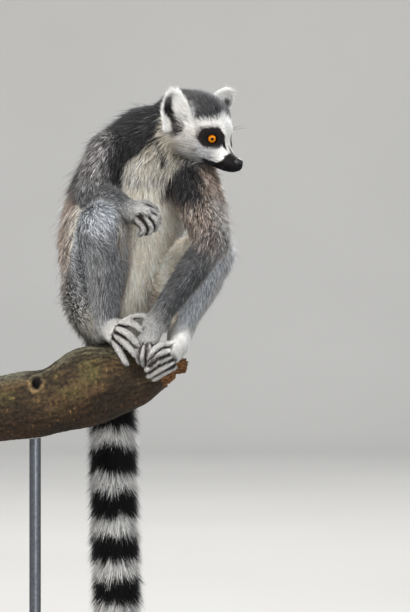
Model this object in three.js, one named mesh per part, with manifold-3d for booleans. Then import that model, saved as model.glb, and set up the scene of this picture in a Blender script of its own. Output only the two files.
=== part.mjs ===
// A life-size ring-tailed lemur squatting on a short length of branch, on a plain display stand.
// Millimetres, +Z up, the animal's front towards -Y. The origin is the middle of the base's underside.
// Every solid of the animal reaches to the tips of its coat.
import * as THREE from "three";
import { mergeVertices } from "three/addons/utils/BufferGeometryUtils.js";
import Module from "manifold-3d";

const wasm = await Module();
wasm.setup();

// ---- driving dimensions ----
const GAP = 0.35; // left between neighbouring solids
const BASE = { width: 410, depth: 320, height: 18, corner: 24, bevel: 3 };
const ROD = { x: -96, y: -12, top: 500, radius: 6, collarRadius: 17, collarTopRadius: 15, collarHeight: 7 };
const TRUNK_YAW = 25; // degrees the chest is turned from -Y towards +X
const HEAD = {
  nose: [117.5, -46, 754], // tip of the nose
  yaw: 56, // degrees the face is turned from -Y towards +X
  pitch: 24, // degrees the face is tipped down
  eye: { back: 39.8, side: 10, up: 12.4, radius: 8.1, gaze: 44, socket: { ahead: 10, radius: 6.6 } },
  ear: { cup: 8, thickness: 4 },
};
// An ear's root and the way to its tip (both backwards, outwards and up), and the way it opens (forwards and
// outwards): the left one is pricked forwards.
const EAR_SET = {
  right: { root: [70, 34, 18], height: 30, width: 31, lean: [14, 5, 28], opens: [0.6, 0.8] },
  left: { root: [75, 26, 28], height: 34, width: 35, lean: [0, 26, 28], opens: [1, -0.15] },
};

// ---- joints of the skeleton ----
const SHOULDER_R = [-18, -4, 766];
const ELBOW_R = [-35, -18, 726];
const WRIST_R = [6, -64, 704];
const SHOULDER_L = [67, 6, 744];
const ELBOW_L = [88, -54, 674];
const WRIST_L = [28, -54, 590];
const HIP_R = [-35, 28, 616];
const KNEE_R = [-24, -54, 690];
const ANKLE_R = [-21, -12, 586];
const HIP_L = [22, 34, 614];
const KNEE_L = [84, -14, 662];
const ANKLE_L = [55, -24, 582];

const COLOURS = {
  back: 0x8f857d, grey: 0x7d7d7f, dark: 0x3b3a3d, white: 0xe4e0d8,
  eye: 0xe07a10, nose: 0x1c191a, bark: 0x5e4a33, wood: 0x6b4a32, steel: 0x8d9094,
};

const degrees = THREE.MathUtils.degToRad;
const vector = (p) => new THREE.Vector3(p[0], p[1], p[2]);

// ---- making and joining solids ----
function solidOf(geometry) {
  const bare = geometry.index ? geometry.toNonIndexed() : geometry.clone();
  for (const name of Object.keys(bare.attributes)) if (name !== "position") bare.deleteAttribute(name);
  const merged = mergeVertices(bare, 1e-3);
  return new wasm.Manifold(
    new wasm.Mesh({
      numProp: 3,
      vertProperties: merged.attributes.position.array,
      triVerts: new Uint32Array(merged.index.array),
    }),
  );
}

function geometryOf(solid) {
  const mesh = solid.getMesh();
  const geometry = new THREE.BufferGeometry();
  geometry.setAttribute("position", new THREE.BufferAttribute(new Float32Array(mesh.vertProperties), 3));
  geometry.setIndex(new THREE.BufferAttribute(new Uint32Array(mesh.triVerts), 1));
  return geometry;
}

const joined = (solids) => solids.reduce((whole, next) => whole.add(next));

// The biggest body of a solid, once slivers left by a cut are dropped.
function biggest(solid) {
  return solid.decompose().reduce((best, next) => (next.volume() > best.volume() ? next : best));
}

// A closed round-ended tube through stations [x, y, z, half width, half depth]. `side` is the direction
// of the half widths, `steps` the rings to a station, `caps` the latitudes of the rings that round its ends
// and `grow` an even offset outwards.
function loft(stations, { side = [1, 0, 0], sides = 12, steps = 1, grow = 0, caps = [66, 33] } = {}) {
  const path = new THREE.CatmullRomCurve3(stations.map(vector), false, "centripetal");
  const reach = stations.map((s) => [s[3] + grow, (s[4] ?? s[3]) + grow]);
  const count = (stations.length - 1) * steps;
  const rings = [];
  const ringAt = (k, along, share) => {
    const t = k / count;
    const i = Math.min(Math.floor(t * (stations.length - 1)), stations.length - 2);
    const blend = t * (stations.length - 1) - i;
    const tangent = path.getTangent(t).normalize();
    const wide = vector(side).addScaledVector(tangent, -vector(side).dot(tangent)).normalize();
    const deep = new THREE.Vector3().crossVectors(tangent, wide);
    const width = THREE.MathUtils.lerp(reach[i][0], reach[i + 1][0], blend);
    const depth = THREE.MathUtils.lerp(reach[i][1], reach[i + 1][1], blend);
    const centre = path.getPoint(t).addScaledVector(tangent, along * Math.min(width, depth));
    rings.push({ centre, wide, deep, width: width * share, depth: depth * share });
  };
  const ends = caps.map(degrees);
  for (const a of ends) ringAt(0, -Math.sin(a), Math.cos(a));
  for (let k = 0; k <= count; k++) ringAt(k, 0, 1);
  for (const a of ends.toReversed()) ringAt(count, Math.sin(a), Math.cos(a));

  const points = [];
  for (const ring of rings)
    for (let j = 0; j < sides; j++) {
      const angle = (2 * Math.PI * j) / sides;
      const point = ring.centre.clone();
      point.addScaledVector(ring.wide, ring.width * Math.cos(angle));
      point.addScaledVector(ring.deep, ring.depth * Math.sin(angle));
      points.push(point);
    }
  const first = points.push(rings[0].centre.clone()) - 1;
  const last = points.push(rings.at(-1).centre.clone()) - 1;
  const index = [];
  for (let k = 0; k < rings.length; k++)
    for (let j = 0; j < sides; j++) {
      const next = (j + 1) % sides;
      const a = k * sides + j;
      const b = k * sides + next;
      if (k === 0) index.push(first, b, a);
      if (k === rings.length - 1) index.push(last, a, b);
      else index.push(a, b, b + sides, a, b + sides, a + sides);
    }
  return new THREE.BufferGeometry().setFromPoints(points).setIndex(index);
}

// A part of the animal: its lofts joined, and the same lofts a gap larger, for cutting its neighbours.
function piece(lofts) {
  const one = ({ stations, ...options }, grow) => solidOf(loft(stations, { ...options, grow }));
  const made = (grow) => joined(lofts.map((options) => one(options, grow)));
  return { solid: made(0), cutter: made(GAP) };
}

const cutBy = (part, ...others) =>
  biggest(others.reduce((left, other) => left.subtract(other.cutter), part.solid));

// ---- the animal's parts ----
const turn = degrees(TRUNK_YAW);
const ACROSS = [Math.cos(turn), Math.sin(turn), 0]; // from the animal's right side to its left
const station = (joint, width, depth) => [...joint, width, depth];
const between = (a, b, share, shift = [0, 0, 0]) => a.map((v, i) => v + (b[i] - v) * share + shift[i]);

const trunk = piece([{
  side: ACROSS, sides: 16,
  stations: [
    [-15, 34, 606, 50, 44], [-12, 38, 622, 57, 53], [-9, 41, 648, 64, 60], [-8, 42, 676, 68, 62],
    [-4, 40, 704, 67, 61], [2, 35, 732, 62, 57], [11, 28, 756, 53, 49], [22, 18, 776, 42, 41],
  ],
}]);

const neck = piece([{
  side: ACROSS, sides: 12, caps: [45],
  stations: [[18, 20, 766, 44, 42], [30, 10, 779, 41, 38], [43, 0, 790, 36, 34], [56, -10, 799, 31, 31]],
}]);

function upperArm(shoulder, elbow, swell) {
  return piece([{
    side: ACROSS, sides: 12,
    stations: [
      station(shoulder, 26, 28), station(between(shoulder, elbow, 0.5), 24 + swell, 25),
      station(elbow, 20, 20),
    ],
  }]);
}

function forearm(elbow, wrist) {
  return piece([{
    side: ACROSS, sides: 11,
    stations: [
      station(elbow, 18, 18), station(between(elbow, wrist, 0.35), 18.5, 17.5),
      station(between(elbow, wrist, 0.75), 14, 13), station(wrist, 11, 10),
    ],
  }]);
}

function thigh(hip, knee) {
  return piece([{
    side: ACROSS, sides: 14,
    stations: [
      station(hip, 32, 38), station(between(hip, knee, 0.5, [0, 0, 4]), 30, 36),
      station(knee, 24, 25),
    ],
  }]);
}

function shin(knee, ankle) {
  return piece([{
    side: ACROSS, sides: 12,
    stations: [
      station(knee, 23, 23), station(between(knee, ankle, 0.35, [2, 5, 0]), 25, 24),
      station(between(knee, ankle, 0.72, [0, 2, 0]), 18, 17), station(ankle, 12.5, 12),
    ],
  }]);
}

const digit = (points, thick = 4.6) => ({
  side: [0, 1, 0], sides: 5, caps: [45],
  stations: points.map((p, i) => station(p, thick - 0.5 * i, thick - 0.5 * i)),
});

const handRight = piece([
  {
    sides: 8, caps: [45], side: [0.3, -0.5, 0.8],
    stations: [station(WRIST_R, 11, 10), [14, -71, 701, 13, 9], [19, -74, 699, 13, 8.5]],
  },
  digit([[8, -62, 710], [19, -62, 713], [28, -60, 708]]),
  digit([[20, -66, 706], [30, -68, 702], [32, -66, 694], [26, -62, 690]], 5),
  digit([[19, -72, 701], [29, -76, 696], [29, -74, 688], [23, -69, 686]], 5),
  digit([[16, -76, 697], [24, -80, 690], [23, -78, 684], [17, -73, 684]], 5),
  digit([[12, -78, 695], [18, -82, 687], [15, -79, 682]]),
]);

const handLeft = piece([
  {
    sides: 8, caps: [45], side: [1, 0, 0],
    stations: [station(WRIST_L, 11, 10), [24, -55, 579, 12, 8.5], [20, -54, 571, 11.5, 7.5]],
  },
  digit([[12, -50, 574], [9, -47, 566], [11, -44, 559]], 3.4),
  digit([[13, -56, 568], [10, -56, 560], [12, -50, 552]], 3.7),
  digit([[18, -58, 566], [16, -58, 557], [17, -52, 549]], 3.7),
  digit([[23, -58, 566], [23, -57, 557], [23, -51, 549]], 3.7),
  digit([[28, -55, 568], [29, -54, 560], [28, -48, 552]], 3.5),
]);

const footRight = piece([
  {
    sides: 8, caps: [45], side: [0.5, -0.2, 0.75],
    stations: [
      [-27, 8, 577, 11, 9], station(ANKLE_R, 13, 11), [-12, -34, 582, 15, 10], [-7, -43, 581, 13, 8],
    ],
  },
  digit([[-4, -36, 592], [8, -44, 598], [20, -50, 598], [28, -52, 593]], 3.7),
  digit([[-6, -45, 590], [4, -54, 591], [15, -59, 585]], 4.5),
  digit([[-8, -49, 584], [1, -58, 580], [11, -61, 571]], 4.6),
  digit([[-10, -49, 578], [-1, -58, 570], [8, -59, 560]], 4.6),
  digit([[-13, -46, 574], [-8, -55, 563], [-1, -56, 551]], 4.3),
]);

const footLeft = piece([
  {
    sides: 8, caps: [45], side: [0.55, 0, 0.83],
    stations: [
      [58, -8, 575, 9, 9], station(ANKLE_L, 13, 12), [51, -44, 566, 17, 12], [46, -54, 559, 17, 10],
    ],
  },
  digit([[46, -54, 569], [36, -65, 569], [28, -69, 563], [24, -66, 555]], 4.4),
  digit([[45, -57, 563], [35, -68, 560], [25, -67, 551]], 5),
  digit([[44, -58, 557], [34, -68, 553], [23, -65, 545]], 5.2),
  digit([[45, -57, 551], [35, -66, 546], [24, -62, 539]], 5),
  digit([[47, -54, 547], [38, -61, 541], [29, -57, 535]], 4.4),
]);

// The tail hangs behind the branch, and its end hooks forwards clear of the base.
const TAIL = [
  [-35, 50, 618, 21], [-29, 75, 598, 24], [-23, 86, 564, 26], [-19, 82, 512, 28], [-18, 74, 460, 29.5],
  [-17, 71, 400, 29.5], [-15, 70, 340, 29.5], [-13, 70, 280, 29.5], [-11, 70, 220, 29.5], [-8, 69, 165, 29],
  [-3, 64, 118, 28], [6, 52, 82, 26], [20, 34, 62, 22],
];
const TAIL_LENGTHS = 6; // named lengths, each of two spans between stations

// Length i of the tail, cut square across at its ends.
function tailPart(i) {
  const whole = piece([{ sides: 12, stations: TAIL.map(([x, y, z, r]) => [x, y, z, r, r]) }]).solid;
  const cut = (solid, at, sign) => {
    const here = vector(TAIL[at]);
    const along = vector(TAIL[Math.min(at + 1, TAIL.length - 1)]).sub(vector(TAIL[at - 1])).normalize();
    along.multiplyScalar(sign);
    return solid.trimByPlane(along.toArray(), along.dot(here) + GAP / 2);
  };
  const from = 2 * i;
  const to = 2 * i + 2;
  const started = i > 0 ? cut(whole, from, 1) : whole;
  return biggest(to < TAIL.length - 1 ? cut(started, to, -1) : started);
}

// ---- the head, in its own frame: +X forwards from the nose tip, +Y to the animal's left, +Z up ----
// x, height of the middle, half width, half height
const SKULL = [
  [-5, -3, 7, 7.5], [-11, -4, 9.5, 10], [-19, -4, 11.7, 12.2], [-27, -2, 15, 15], [-34, 1, 20, 18.2],
  [-42, 4.8, 25.8, 23], [-52, 9.2, 30.5, 28], [-64, 14.2, 33.5, 32.4], [-76, 17.8, 33.5, 32.5],
  [-88, 20, 29, 28],
];
const CRANIUM = { back: 63.6, up: 19.8, radius: 32.2 }; // the round of the forehead and crown
const RIDGE = { back: 38, up: 21.8, radius: 12.8 }; // and of the ridge between the brows

const headLoft = (grow) => {
  const face = loft(
    SKULL.map(([x, up, wide, high]) => [x, 0, up, wide, high]), { side: [0, 1, 0], sides: 14, grow },
  );
  const round = ({ back, up, radius }, around, levels) =>
    solidOf(new THREE.SphereGeometry(radius + grow, around, levels).translate(-back, 0, up));
  return joined([solidOf(face), round(CRANIUM, 12, 8), round(RIDGE, 10, 7)]);
};
const nosePad = (grow) => {
  const ball = new THREE.SphereGeometry(5.4 + grow, 9, 6).scale(0.85, 1.1, 0.9).translate(-4.6, 0, -0.6);
  return solidOf(ball);
};
const eyeBall = (sign, grow) => {
  const { back, side, up, radius } = HEAD.eye;
  return solidOf(new THREE.SphereGeometry(radius + grow, 10, 7).translate(-back, sign * side, up));
};
// The hollow between the lids that an eyeball looks out of.
const eyeOpening = (sign) => {
  const { back, side, up, gaze, socket } = HEAD.eye;
  const turned = degrees(gaze);
  const ahead = [Math.cos(turned) * socket.ahead, sign * Math.sin(turned) * socket.ahead];
  const ball = new THREE.SphereGeometry(socket.radius, 8, 6);
  return solidOf(ball.translate(ahead[0] - back, sign * side + ahead[1], up));
};

const EAR_FOOT = -0.25; // where the leaf starts, inside the head, as a share of its length
const EAR_WIDEST = 0.1; // and where it starts to narrow
const EAR_TIP_SHARE = 0.05;

// A cupped leaf that opens forwards and outwards, as one closed shell of even thickness.
function earShell(sign, grow) {
  const { cup, thickness } = HEAD.ear;
  const { root: [back, side, up], height, width, lean, opens } = sign > 0 ? EAR_SET.left : EAR_SET.right;
  const [leanBack, leanOut, leanUp] = lean;
  const rows = 5;
  const columns = 6;
  const rise = new THREE.Vector3(-leanBack, sign * leanOut, leanUp).normalize();
  const open = new THREE.Vector3(opens[0], sign * opens[1], 0);
  open.addScaledVector(rise, -open.dot(rise)).normalize();
  const across = new THREE.Vector3().crossVectors(rise, open).multiplyScalar(sign);
  const root = new THREE.Vector3(-back, sign * side, up);
  const sheet = (offset) => {
    const points = [];
    for (let i = 0; i <= rows; i++)
      for (let j = 0; j <= columns; j++) {
        const t = EAR_FOOT + ((1 - EAR_FOOT) * i) / rows;
        const s = (2 * j) / columns - 1;
        const narrowing = Math.pow(Math.max(0, (t - EAR_WIDEST) / (1 - EAR_WIDEST)), 2.4);
        const half = (width / 2) * Math.sqrt(Math.max(EAR_TIP_SHARE, 1 - narrowing));
        const point = root.clone().addScaledVector(rise, height * t + grow * Math.sign(t - 0.5));
        point.addScaledVector(across, (half + grow) * s);
        point.addScaledVector(open, cup * (s * s - 0.6) + offset);
        points.push(point);
      }
    return points;
  };
  const front = sheet(thickness / 2 + grow);
  const rear = sheet(-thickness / 2 - grow);
  const wide = columns + 1;
  const count = front.length;
  const index = [];
  // The right ear is the left's mirror image, so its faces turn round.
  const quad = (a, b, c, d) => (sign < 0 ? index.push(a, c, b, a, d, c) : index.push(a, b, c, a, c, d));
  for (let i = 0; i < rows; i++)
    for (let j = 0; j < columns; j++) {
      const a = i * wide + j;
      quad(a, a + 1, a + wide + 1, a + wide);
      quad(count + a, count + a + wide, count + a + wide + 1, count + a + 1);
    }
  for (let j = 0; j < columns; j++) {
    const top = rows * wide + j;
    quad(j + 1, j, count + j, count + j + 1);
    quad(top, top + 1, count + top + 1, count + top);
  }
  for (let i = 0; i < rows; i++) {
    const left = i * wide;
    const right = left + columns;
    quad(left, left + wide, count + left + wide, count + left);
    quad(right + wide, right, count + right, count + right + wide);
  }
  const geometry = new THREE.BufferGeometry().setFromPoints([...front, ...rear]).setIndex(index);
  return solidOf(geometry);
}

function headFrame() {
  const yaw = degrees(HEAD.yaw);
  const pitch = degrees(HEAD.pitch);
  const forwards = new THREE.Vector3(
    Math.cos(pitch) * Math.sin(yaw), -Math.cos(pitch) * Math.cos(yaw), -Math.sin(pitch),
  );
  const left = new THREE.Vector3(Math.cos(yaw), Math.sin(yaw), 0);
  const up = new THREE.Vector3().crossVectors(forwards, left);
  return new THREE.Matrix4().makeBasis(forwards, left, up).setPosition(...HEAD.nose);
}

// ---- the branch and its stand ----
// x, height of the middle, half depth, half height
const BRANCH = [
  [-160, 499, 34, 34], [-133, 502, 35, 36], [-108, 506, 36, 36.5], [-86, 509, 37, 37.5],
  [-62, 519, 41, 43], [-40, 525, 42, 44], [-15, 528, 40, 39], [5, 531, 37, 33], [24, 535, 34, 26],
  [40, 541, 28, 18], [50, 547, 20, 12],
];
const BRANCH_Y = -12;

function branch() {
  const stations = BRANCH.map(([x, height, deep, high]) => [x, BRANCH_Y, height, deep, high]);
  const whole = piece([{ side: [0, 1, 0], sides: 14, stations }]);
  const [x] = BRANCH[0];
  return { solid: whole.solid.trimByPlane([1, 0, 0], x), cutter: whole.cutter };
}

function roundedBase() {
  const { width, depth, height, corner, bevel } = BASE;
  const w = width / 2 - bevel;
  const d = depth / 2 - bevel;
  const outline = new THREE.Shape();
  outline.moveTo(-w + corner, -d);
  outline.absarc(w - corner, -d + corner, corner, -Math.PI / 2, 0);
  outline.absarc(w - corner, d - corner, corner, 0, Math.PI / 2);
  outline.absarc(-w + corner, d - corner, corner, Math.PI / 2, Math.PI);
  outline.absarc(-w + corner, -d + corner, corner, Math.PI, 1.5 * Math.PI);
  const block = new THREE.ExtrudeGeometry(outline, {
    depth: height - 2 * bevel,
    curveSegments: 3,
    bevelThickness: bevel,
    bevelSize: bevel,
    bevelSegments: 1,
  });
  return solidOf(block.translate(0, 0, bevel));
}

// A round bar on the rod's axis, from z = low up, of one radius at its foot and another at its top.
function roundBar(low, height, footRadius, topRadius) {
  const profile = [[0, 0], [footRadius, 0], [topRadius, height], [0, height]];
  const points = profile.map(([r, z]) => new THREE.Vector2(r, z));
  return solidOf(new THREE.LatheGeometry(points, 20).rotateX(Math.PI / 2).translate(ROD.x, ROD.y, low));
}

// ---- assembly ----
const lemur = new THREE.Group();

function show(group, name, solid, colour, roughness = 0.9, metalness = 0) {
  const material = new THREE.MeshStandardMaterial({ color: colour, roughness, metalness });
  const mesh = new THREE.Mesh(geometryOf(solid), material);
  mesh.name = name;
  group.add(mesh);
}

const frame = headFrame();
const headGroup = new THREE.Group();
frame.decompose(headGroup.position, headGroup.quaternion, headGroup.scale);
lemur.add(headGroup);
const placed = (solid) => solid.transform(frame.toArray());

let skull = headLoft(0).subtract(nosePad(GAP));
for (const [sideName, sign] of Object.entries({ right: -1, left: 1 })) {
  show(headGroup, `eye_${sideName}`, eyeBall(sign, 0), COLOURS.eye, 0.15);
  skull = skull.subtract(eyeBall(sign, GAP)).subtract(eyeOpening(sign));
  const ear = biggest(earShell(sign, 0).subtract(headLoft(GAP)));
  show(headGroup, `ear_${sideName}`, ear, COLOURS.white);
}
show(headGroup, "nose", nosePad(0), COLOURS.nose, 0.35);
show(headGroup, "head", biggest(skull), COLOURS.dark);
const headCutter = { cutter: placed(joined([headLoft(GAP), earShell(1, GAP), earShell(-1, GAP)])) };

const perch = branch();
const armR = upperArm(SHOULDER_R, ELBOW_R, 0);
const armL = upperArm(SHOULDER_L, ELBOW_L, 2);
const foreR = forearm(ELBOW_R, WRIST_R);
const foreL = forearm(ELBOW_L, WRIST_L);
const thighR = thigh(HIP_R, KNEE_R);
const thighL = thigh(HIP_L, KNEE_L);
const shinR = shin(KNEE_R, ANKLE_R);
const shinL = shin(KNEE_L, ANKLE_L);

show(lemur, "trunk", cutBy(trunk, headCutter, perch), COLOURS.back);
show(lemur, "neck", cutBy(neck, headCutter, trunk), COLOURS.dark);
show(lemur, "upper_arm_right", cutBy(armR, headCutter, trunk, neck), COLOURS.grey);
show(lemur, "upper_arm_left", cutBy(armL, headCutter, trunk, neck), COLOURS.grey);
show(lemur, "forearm_right", cutBy(foreR, trunk, armR), COLOURS.grey);
show(lemur, "forearm_left", cutBy(foreL, trunk, armL, perch), COLOURS.grey);
show(lemur, "hand_right", cutBy(handRight, trunk, foreR), COLOURS.grey);
show(lemur, "hand_left", cutBy(handLeft, perch, foreL, footLeft, footRight), COLOURS.grey);
show(lemur, "thigh_right", cutBy(thighR, perch, trunk, armR, foreR, handRight), COLOURS.grey);
show(lemur, "thigh_left", cutBy(thighL, perch, trunk, armL, foreL), COLOURS.grey);
show(lemur, "shin_right", cutBy(shinR, perch, trunk, thighR, foreR, handRight), COLOURS.grey);
show(lemur, "shin_left", cutBy(shinL, perch, trunk, thighL, armL, foreL, handLeft), COLOURS.grey);
show(lemur, "foot_right", cutBy(footRight, perch, trunk, shinR, foreL), COLOURS.white);
show(lemur, "foot_left", cutBy(footLeft, perch, trunk, shinL, foreL, footRight), COLOURS.white);
for (let i = 0; i < TAIL_LENGTHS; i++) {
  const length = { solid: tailPart(i) };
  show(lemur, `tail_${i + 1}`, i < 2 ? cutBy(length, trunk, perch) : length.solid, COLOURS.dark);
}

show(lemur, "perch_branch", perch.solid, COLOURS.bark);
show(lemur, "stand_base", roundedBase(), COLOURS.wood, 0.5);
const { radius, collarRadius, collarTopRadius, collarHeight } = ROD;
const collarFoot = BASE.height + GAP;
const rodFoot = collarFoot + collarHeight + GAP;
const collar = roundBar(collarFoot, collarHeight, collarRadius, collarTopRadius);
const rod = roundBar(rodFoot, ROD.top - rodFoot, radius, radius);
show(lemur, "stand_collar", collar, COLOURS.steel, 0.4, 1);
show(lemur, "stand_rod", biggest(rod.subtract(perch.cutter)), COLOURS.steel, 0.4, 1);

export default lemur;
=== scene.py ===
import math

import bpy
import bmesh
import numpy as np
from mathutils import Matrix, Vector


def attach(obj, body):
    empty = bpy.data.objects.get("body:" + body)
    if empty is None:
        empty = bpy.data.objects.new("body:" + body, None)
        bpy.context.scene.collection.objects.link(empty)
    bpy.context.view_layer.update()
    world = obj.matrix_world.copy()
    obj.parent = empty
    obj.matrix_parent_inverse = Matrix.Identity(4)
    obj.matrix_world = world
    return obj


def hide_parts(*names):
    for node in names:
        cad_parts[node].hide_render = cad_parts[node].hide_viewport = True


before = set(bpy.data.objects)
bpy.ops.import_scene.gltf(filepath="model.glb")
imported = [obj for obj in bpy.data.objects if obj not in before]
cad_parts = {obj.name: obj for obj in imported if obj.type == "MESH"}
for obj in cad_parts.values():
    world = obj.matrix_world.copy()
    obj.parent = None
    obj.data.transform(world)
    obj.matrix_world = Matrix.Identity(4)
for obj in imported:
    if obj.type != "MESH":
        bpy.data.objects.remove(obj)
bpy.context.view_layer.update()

# A life-size ring-tailed lemur squatting on a cut branch. Shapes are worked out in millimetres in the
# part's own frame (+Z up, front towards -Y) and turned into metres when a mesh is made.
MM = 0.001
SEED = 7
SIDES = {"right": -1, "left": 1}
SIGNS = tuple(SIDES.values())

# ---- skeleton
TRUNK_YAW = math.radians(25)
ACROSS = np.array([math.cos(TRUNK_YAW), math.sin(TRUNK_YAW), 0.0])  # from its right side to its left
FRONT = np.array([math.sin(TRUNK_YAW), -math.cos(TRUNK_YAW), 0.0])  # the way the chest faces
NOSE_TIP = np.array([117.5, -46.0, 754.0])
HEAD_YAW = math.radians(56)
HEAD_PITCH = math.radians(24)
FORWARD = np.array([
    math.cos(HEAD_PITCH) * math.sin(HEAD_YAW),
    -math.cos(HEAD_PITCH) * math.cos(HEAD_YAW),
    -math.sin(HEAD_PITCH),
])
LEFT = np.array([math.cos(HEAD_YAW), math.sin(HEAD_YAW), 0.0])
UP = np.cross(FORWARD, LEFT)
HEAD_AXES = np.stack([FORWARD, LEFT, UP], 1)  # columns: head x, y and z in the world

SHOULDER = {"right": (-18, -4, 766), "left": (67, 6, 744)}
ELBOW = {"right": (-35, -18, 726), "left": (88, -54, 674)}
WRIST = {"right": (6, -64, 704), "left": (28, -54, 590)}
HIP = {"right": (-35, 28, 616), "left": (22, 34, 614)}
KNEE = {"right": (-24, -54, 690), "left": (84, -14, 662)}
ANKLE = {"right": (-21, -12, 586), "left": (55, -24, 582)}

# How deep the coat is over the skin.
COAT_DEPTH = {"upper_arm": 6.0, "thigh": 7.0, "palm": 1.6, "sole": 1.8, "tail": 12.5}
EYE = {"back": 39.8, "side": 10.0, "up": 12.4, "radius": 7.9, "yaw": 44.0, "opening": (5.4, 4.6)}


def to_head(points):
    return (points - NOSE_TIP) @ HEAD_AXES


def from_head(points):
    return np.asarray(points, float) @ HEAD_AXES.T + NOSE_TIP


def unit(v):
    return v / np.maximum(np.linalg.norm(v, axis=-1, keepdims=True), 1e-9)


def mix(a, b, t):
    return a + (b - a) * t


def ramp(value, low, high):
    """0 below low, 1 above high, smooth between them; low may be the larger."""
    t = np.clip((value - low) / (high - low), 0, 1)
    return t * t * (3 - 2 * t)


def between(a, b, share, shift=(0, 0, 0)):
    return tuple(mix(np.array(a, float), np.array(b, float), share) + np.array(shift))


# ---- solid shapes as distances
FAR = 60.0
CULL = 18.0  # how far outside a shape its exact distance is still worked out
KNIT = 1.5  # how far the tubes of one part run into each other


def catmull_rom(rows, steps):
    rows = np.vstack([2 * rows[0] - rows[1], rows, 2 * rows[-1] - rows[-2]])
    out = []
    for i in range(1, len(rows) - 2):
        a, b, c, d = rows[i - 1 : i + 3]
        for t in np.arange(steps) / steps:
            square, cube = 2 * a - 5 * b + 4 * c - d, 3 * b - a - 3 * c + d
            out.append(0.5 * (2 * b + (c - a) * t + square * t**2 + cube * t**3))
    out.append(rows[-2])
    return np.array(out)


class Loft:
    """A round-ended tube through stations (x, y, z, half width, half depth), less the coat over it."""

    def __init__(self, stations, side=ACROSS, inset=0.0, steps=3, down=True):
        rows = np.array([(*s, s[3])[:5] if len(s) == 4 else s for s in stations], float)
        rows[:, 3:] = np.maximum(rows[:, 3:] - np.reshape(inset, (-1, 1)), 1.2)
        self.rows = catmull_rom(rows, steps) if steps > 1 else rows
        start, stop = self.rows[:-1], self.rows[1:]
        self.start, self.stop = start, stop
        self.length = np.linalg.norm(stop[:, :3] - start[:, :3], axis=1)
        self.tangent = (stop[:, :3] - start[:, :3]) / self.length[:, None]
        side = np.asarray(side, float)
        self.wide = unit(side - (self.tangent @ side)[:, None] * self.tangent)
        self.deep = np.cross(self.tangent, self.wide)
        self.middle = (self.rows[:, :3].max(0) + self.rows[:, :3].min(0)) / 2
        self.reach = (np.linalg.norm(self.rows[:, :3] - self.middle, axis=1) + self.rows[:, 3:].max(1)).max()
        self.sense = 1.0 if down else -1.0  # whether the hair lies from the first station to the last
        self.along = np.concatenate([[0], np.cumsum(self.length)])

    def measure(self, points, full=False):
        """Distances of points, and with full also the way the hair lies and how far along they are."""
        distance = np.linalg.norm(points - self.middle, axis=1) - self.reach
        near = np.nonzero(distance < CULL)[0]
        p = points[near]
        best = np.full(len(p), FAR)
        flow = np.zeros((len(p), 3))
        along = np.zeros(len(p))
        for i in range(len(self.length)):
            offset = p - self.start[i, :3]
            t = np.clip(offset @ self.tangent[i] / self.length[i], 0, 1)
            width = mix(self.start[i, 3], self.stop[i, 3], t)
            depth = mix(self.start[i, 4], self.stop[i, 4], t)
            offset -= (t * self.length[i])[:, None] * self.tangent[i]
            x = offset @ self.wide[i] / width
            y = offset @ self.deep[i] / depth
            z = offset @ self.tangent[i] / np.minimum(width, depth)
            r = np.sqrt(x * x + y * y + z * z)
            size = np.sqrt(np.einsum("ij,ij->i", offset, offset))
            d = np.where(r > 0.05, size * (1 - 1 / np.maximum(r, 0.05)), -np.minimum(width, depth))
            closer = d < best
            best = np.where(closer, d, best)
            if full:
                flow[closer] = self.tangent[i] * self.sense
                along = np.where(closer, self.along[i] + t * self.length[i], along)
        distance[near] = best
        if not full:
            return distance
        flows = np.zeros((len(points), 3))
        alongs = np.zeros(len(points))
        flows[near] = flow
        alongs[near] = along
        return distance, flows, alongs


def join(a, b, k):
    """The smooth union of two distances, rounded over a length k."""
    h = np.maximum(k - np.abs(a - b), 0) / k
    return np.minimum(a, b) - h * h * k * 0.25


def carve(a, b, k):
    """a with b cut out of it, the edge rounded over a length k."""
    return -join(-a, b, k)


# ---- the animal's parts
TRUNK = [
    (-15, 34, 606, 50, 44), (-12, 38, 622, 57, 53), (-9, 41, 648, 64, 60), (-8, 42, 676, 68, 62),
    (-4, 40, 704, 67, 61), (2, 35, 732, 62, 57), (11, 28, 756, 53, 49), (22, 18, 776, 42, 41),
]
NECK = [(18, 20, 766, 44, 42), (30, 10, 779, 41, 38), (43, 0, 790, 36, 34), (56, -10, 799, 31, 31)]
TAIL = [
    (-35, 50, 618, 21), (-29, 75, 598, 24), (-23, 86, 564, 26), (-19, 82, 512, 28), (-18, 74, 460, 29.5),
    (-17, 71, 400, 29.5), (-15, 70, 340, 29.5), (-13, 70, 280, 29.5), (-11, 70, 220, 29.5),
    (-8, 69, 165, 29), (-3, 64, 118, 28), (6, 52, 82, 26), (20, 34, 62, 22),
]
# In the head's own frame: x, height of the middle, half width, half height, coat depth.
SKULL = [
    (-5, -3.4, 6.4, 6.9, 0.4), (-11, -4.4, 9.2, 9.4, 0.6), (-19, -4.2, 11.4, 11.6, 0.9), (-27, -2.2, 14.6, 14.4, 1.3),
    (-34, 0.8, 19.6, 17.6, 2.0), (-42, 4.6, 25.4, 22.4, 2.8), (-52, 9.0, 30.2, 27.4, 3.6),
    (-64, 14.0, 33.2, 31.9, 4.6), (-76, 17.6, 33.2, 32.2, 5.2), (-88, 20, 29, 28, 5.6),
]
RIDGE = {"middle": (-38.0, 0.0, 21.8), "radius": 12.8, "coat": 1.6, "blend": 6.0}  # between the brows
CRANIUM = {"middle": (-63.6, 0.0, 19.8), "radius": 32.0, "coat": 3.4, "blend": 9.0}


def digit(points, thick=4.6):
    """A finger or toe that grows thinner from one joint to the next."""
    rows = [(*p, thick - 0.5 * i) for i, p in enumerate(points)]
    return Loft(rows, side=(0, 1, 0), inset=0.5, steps=2)


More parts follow.
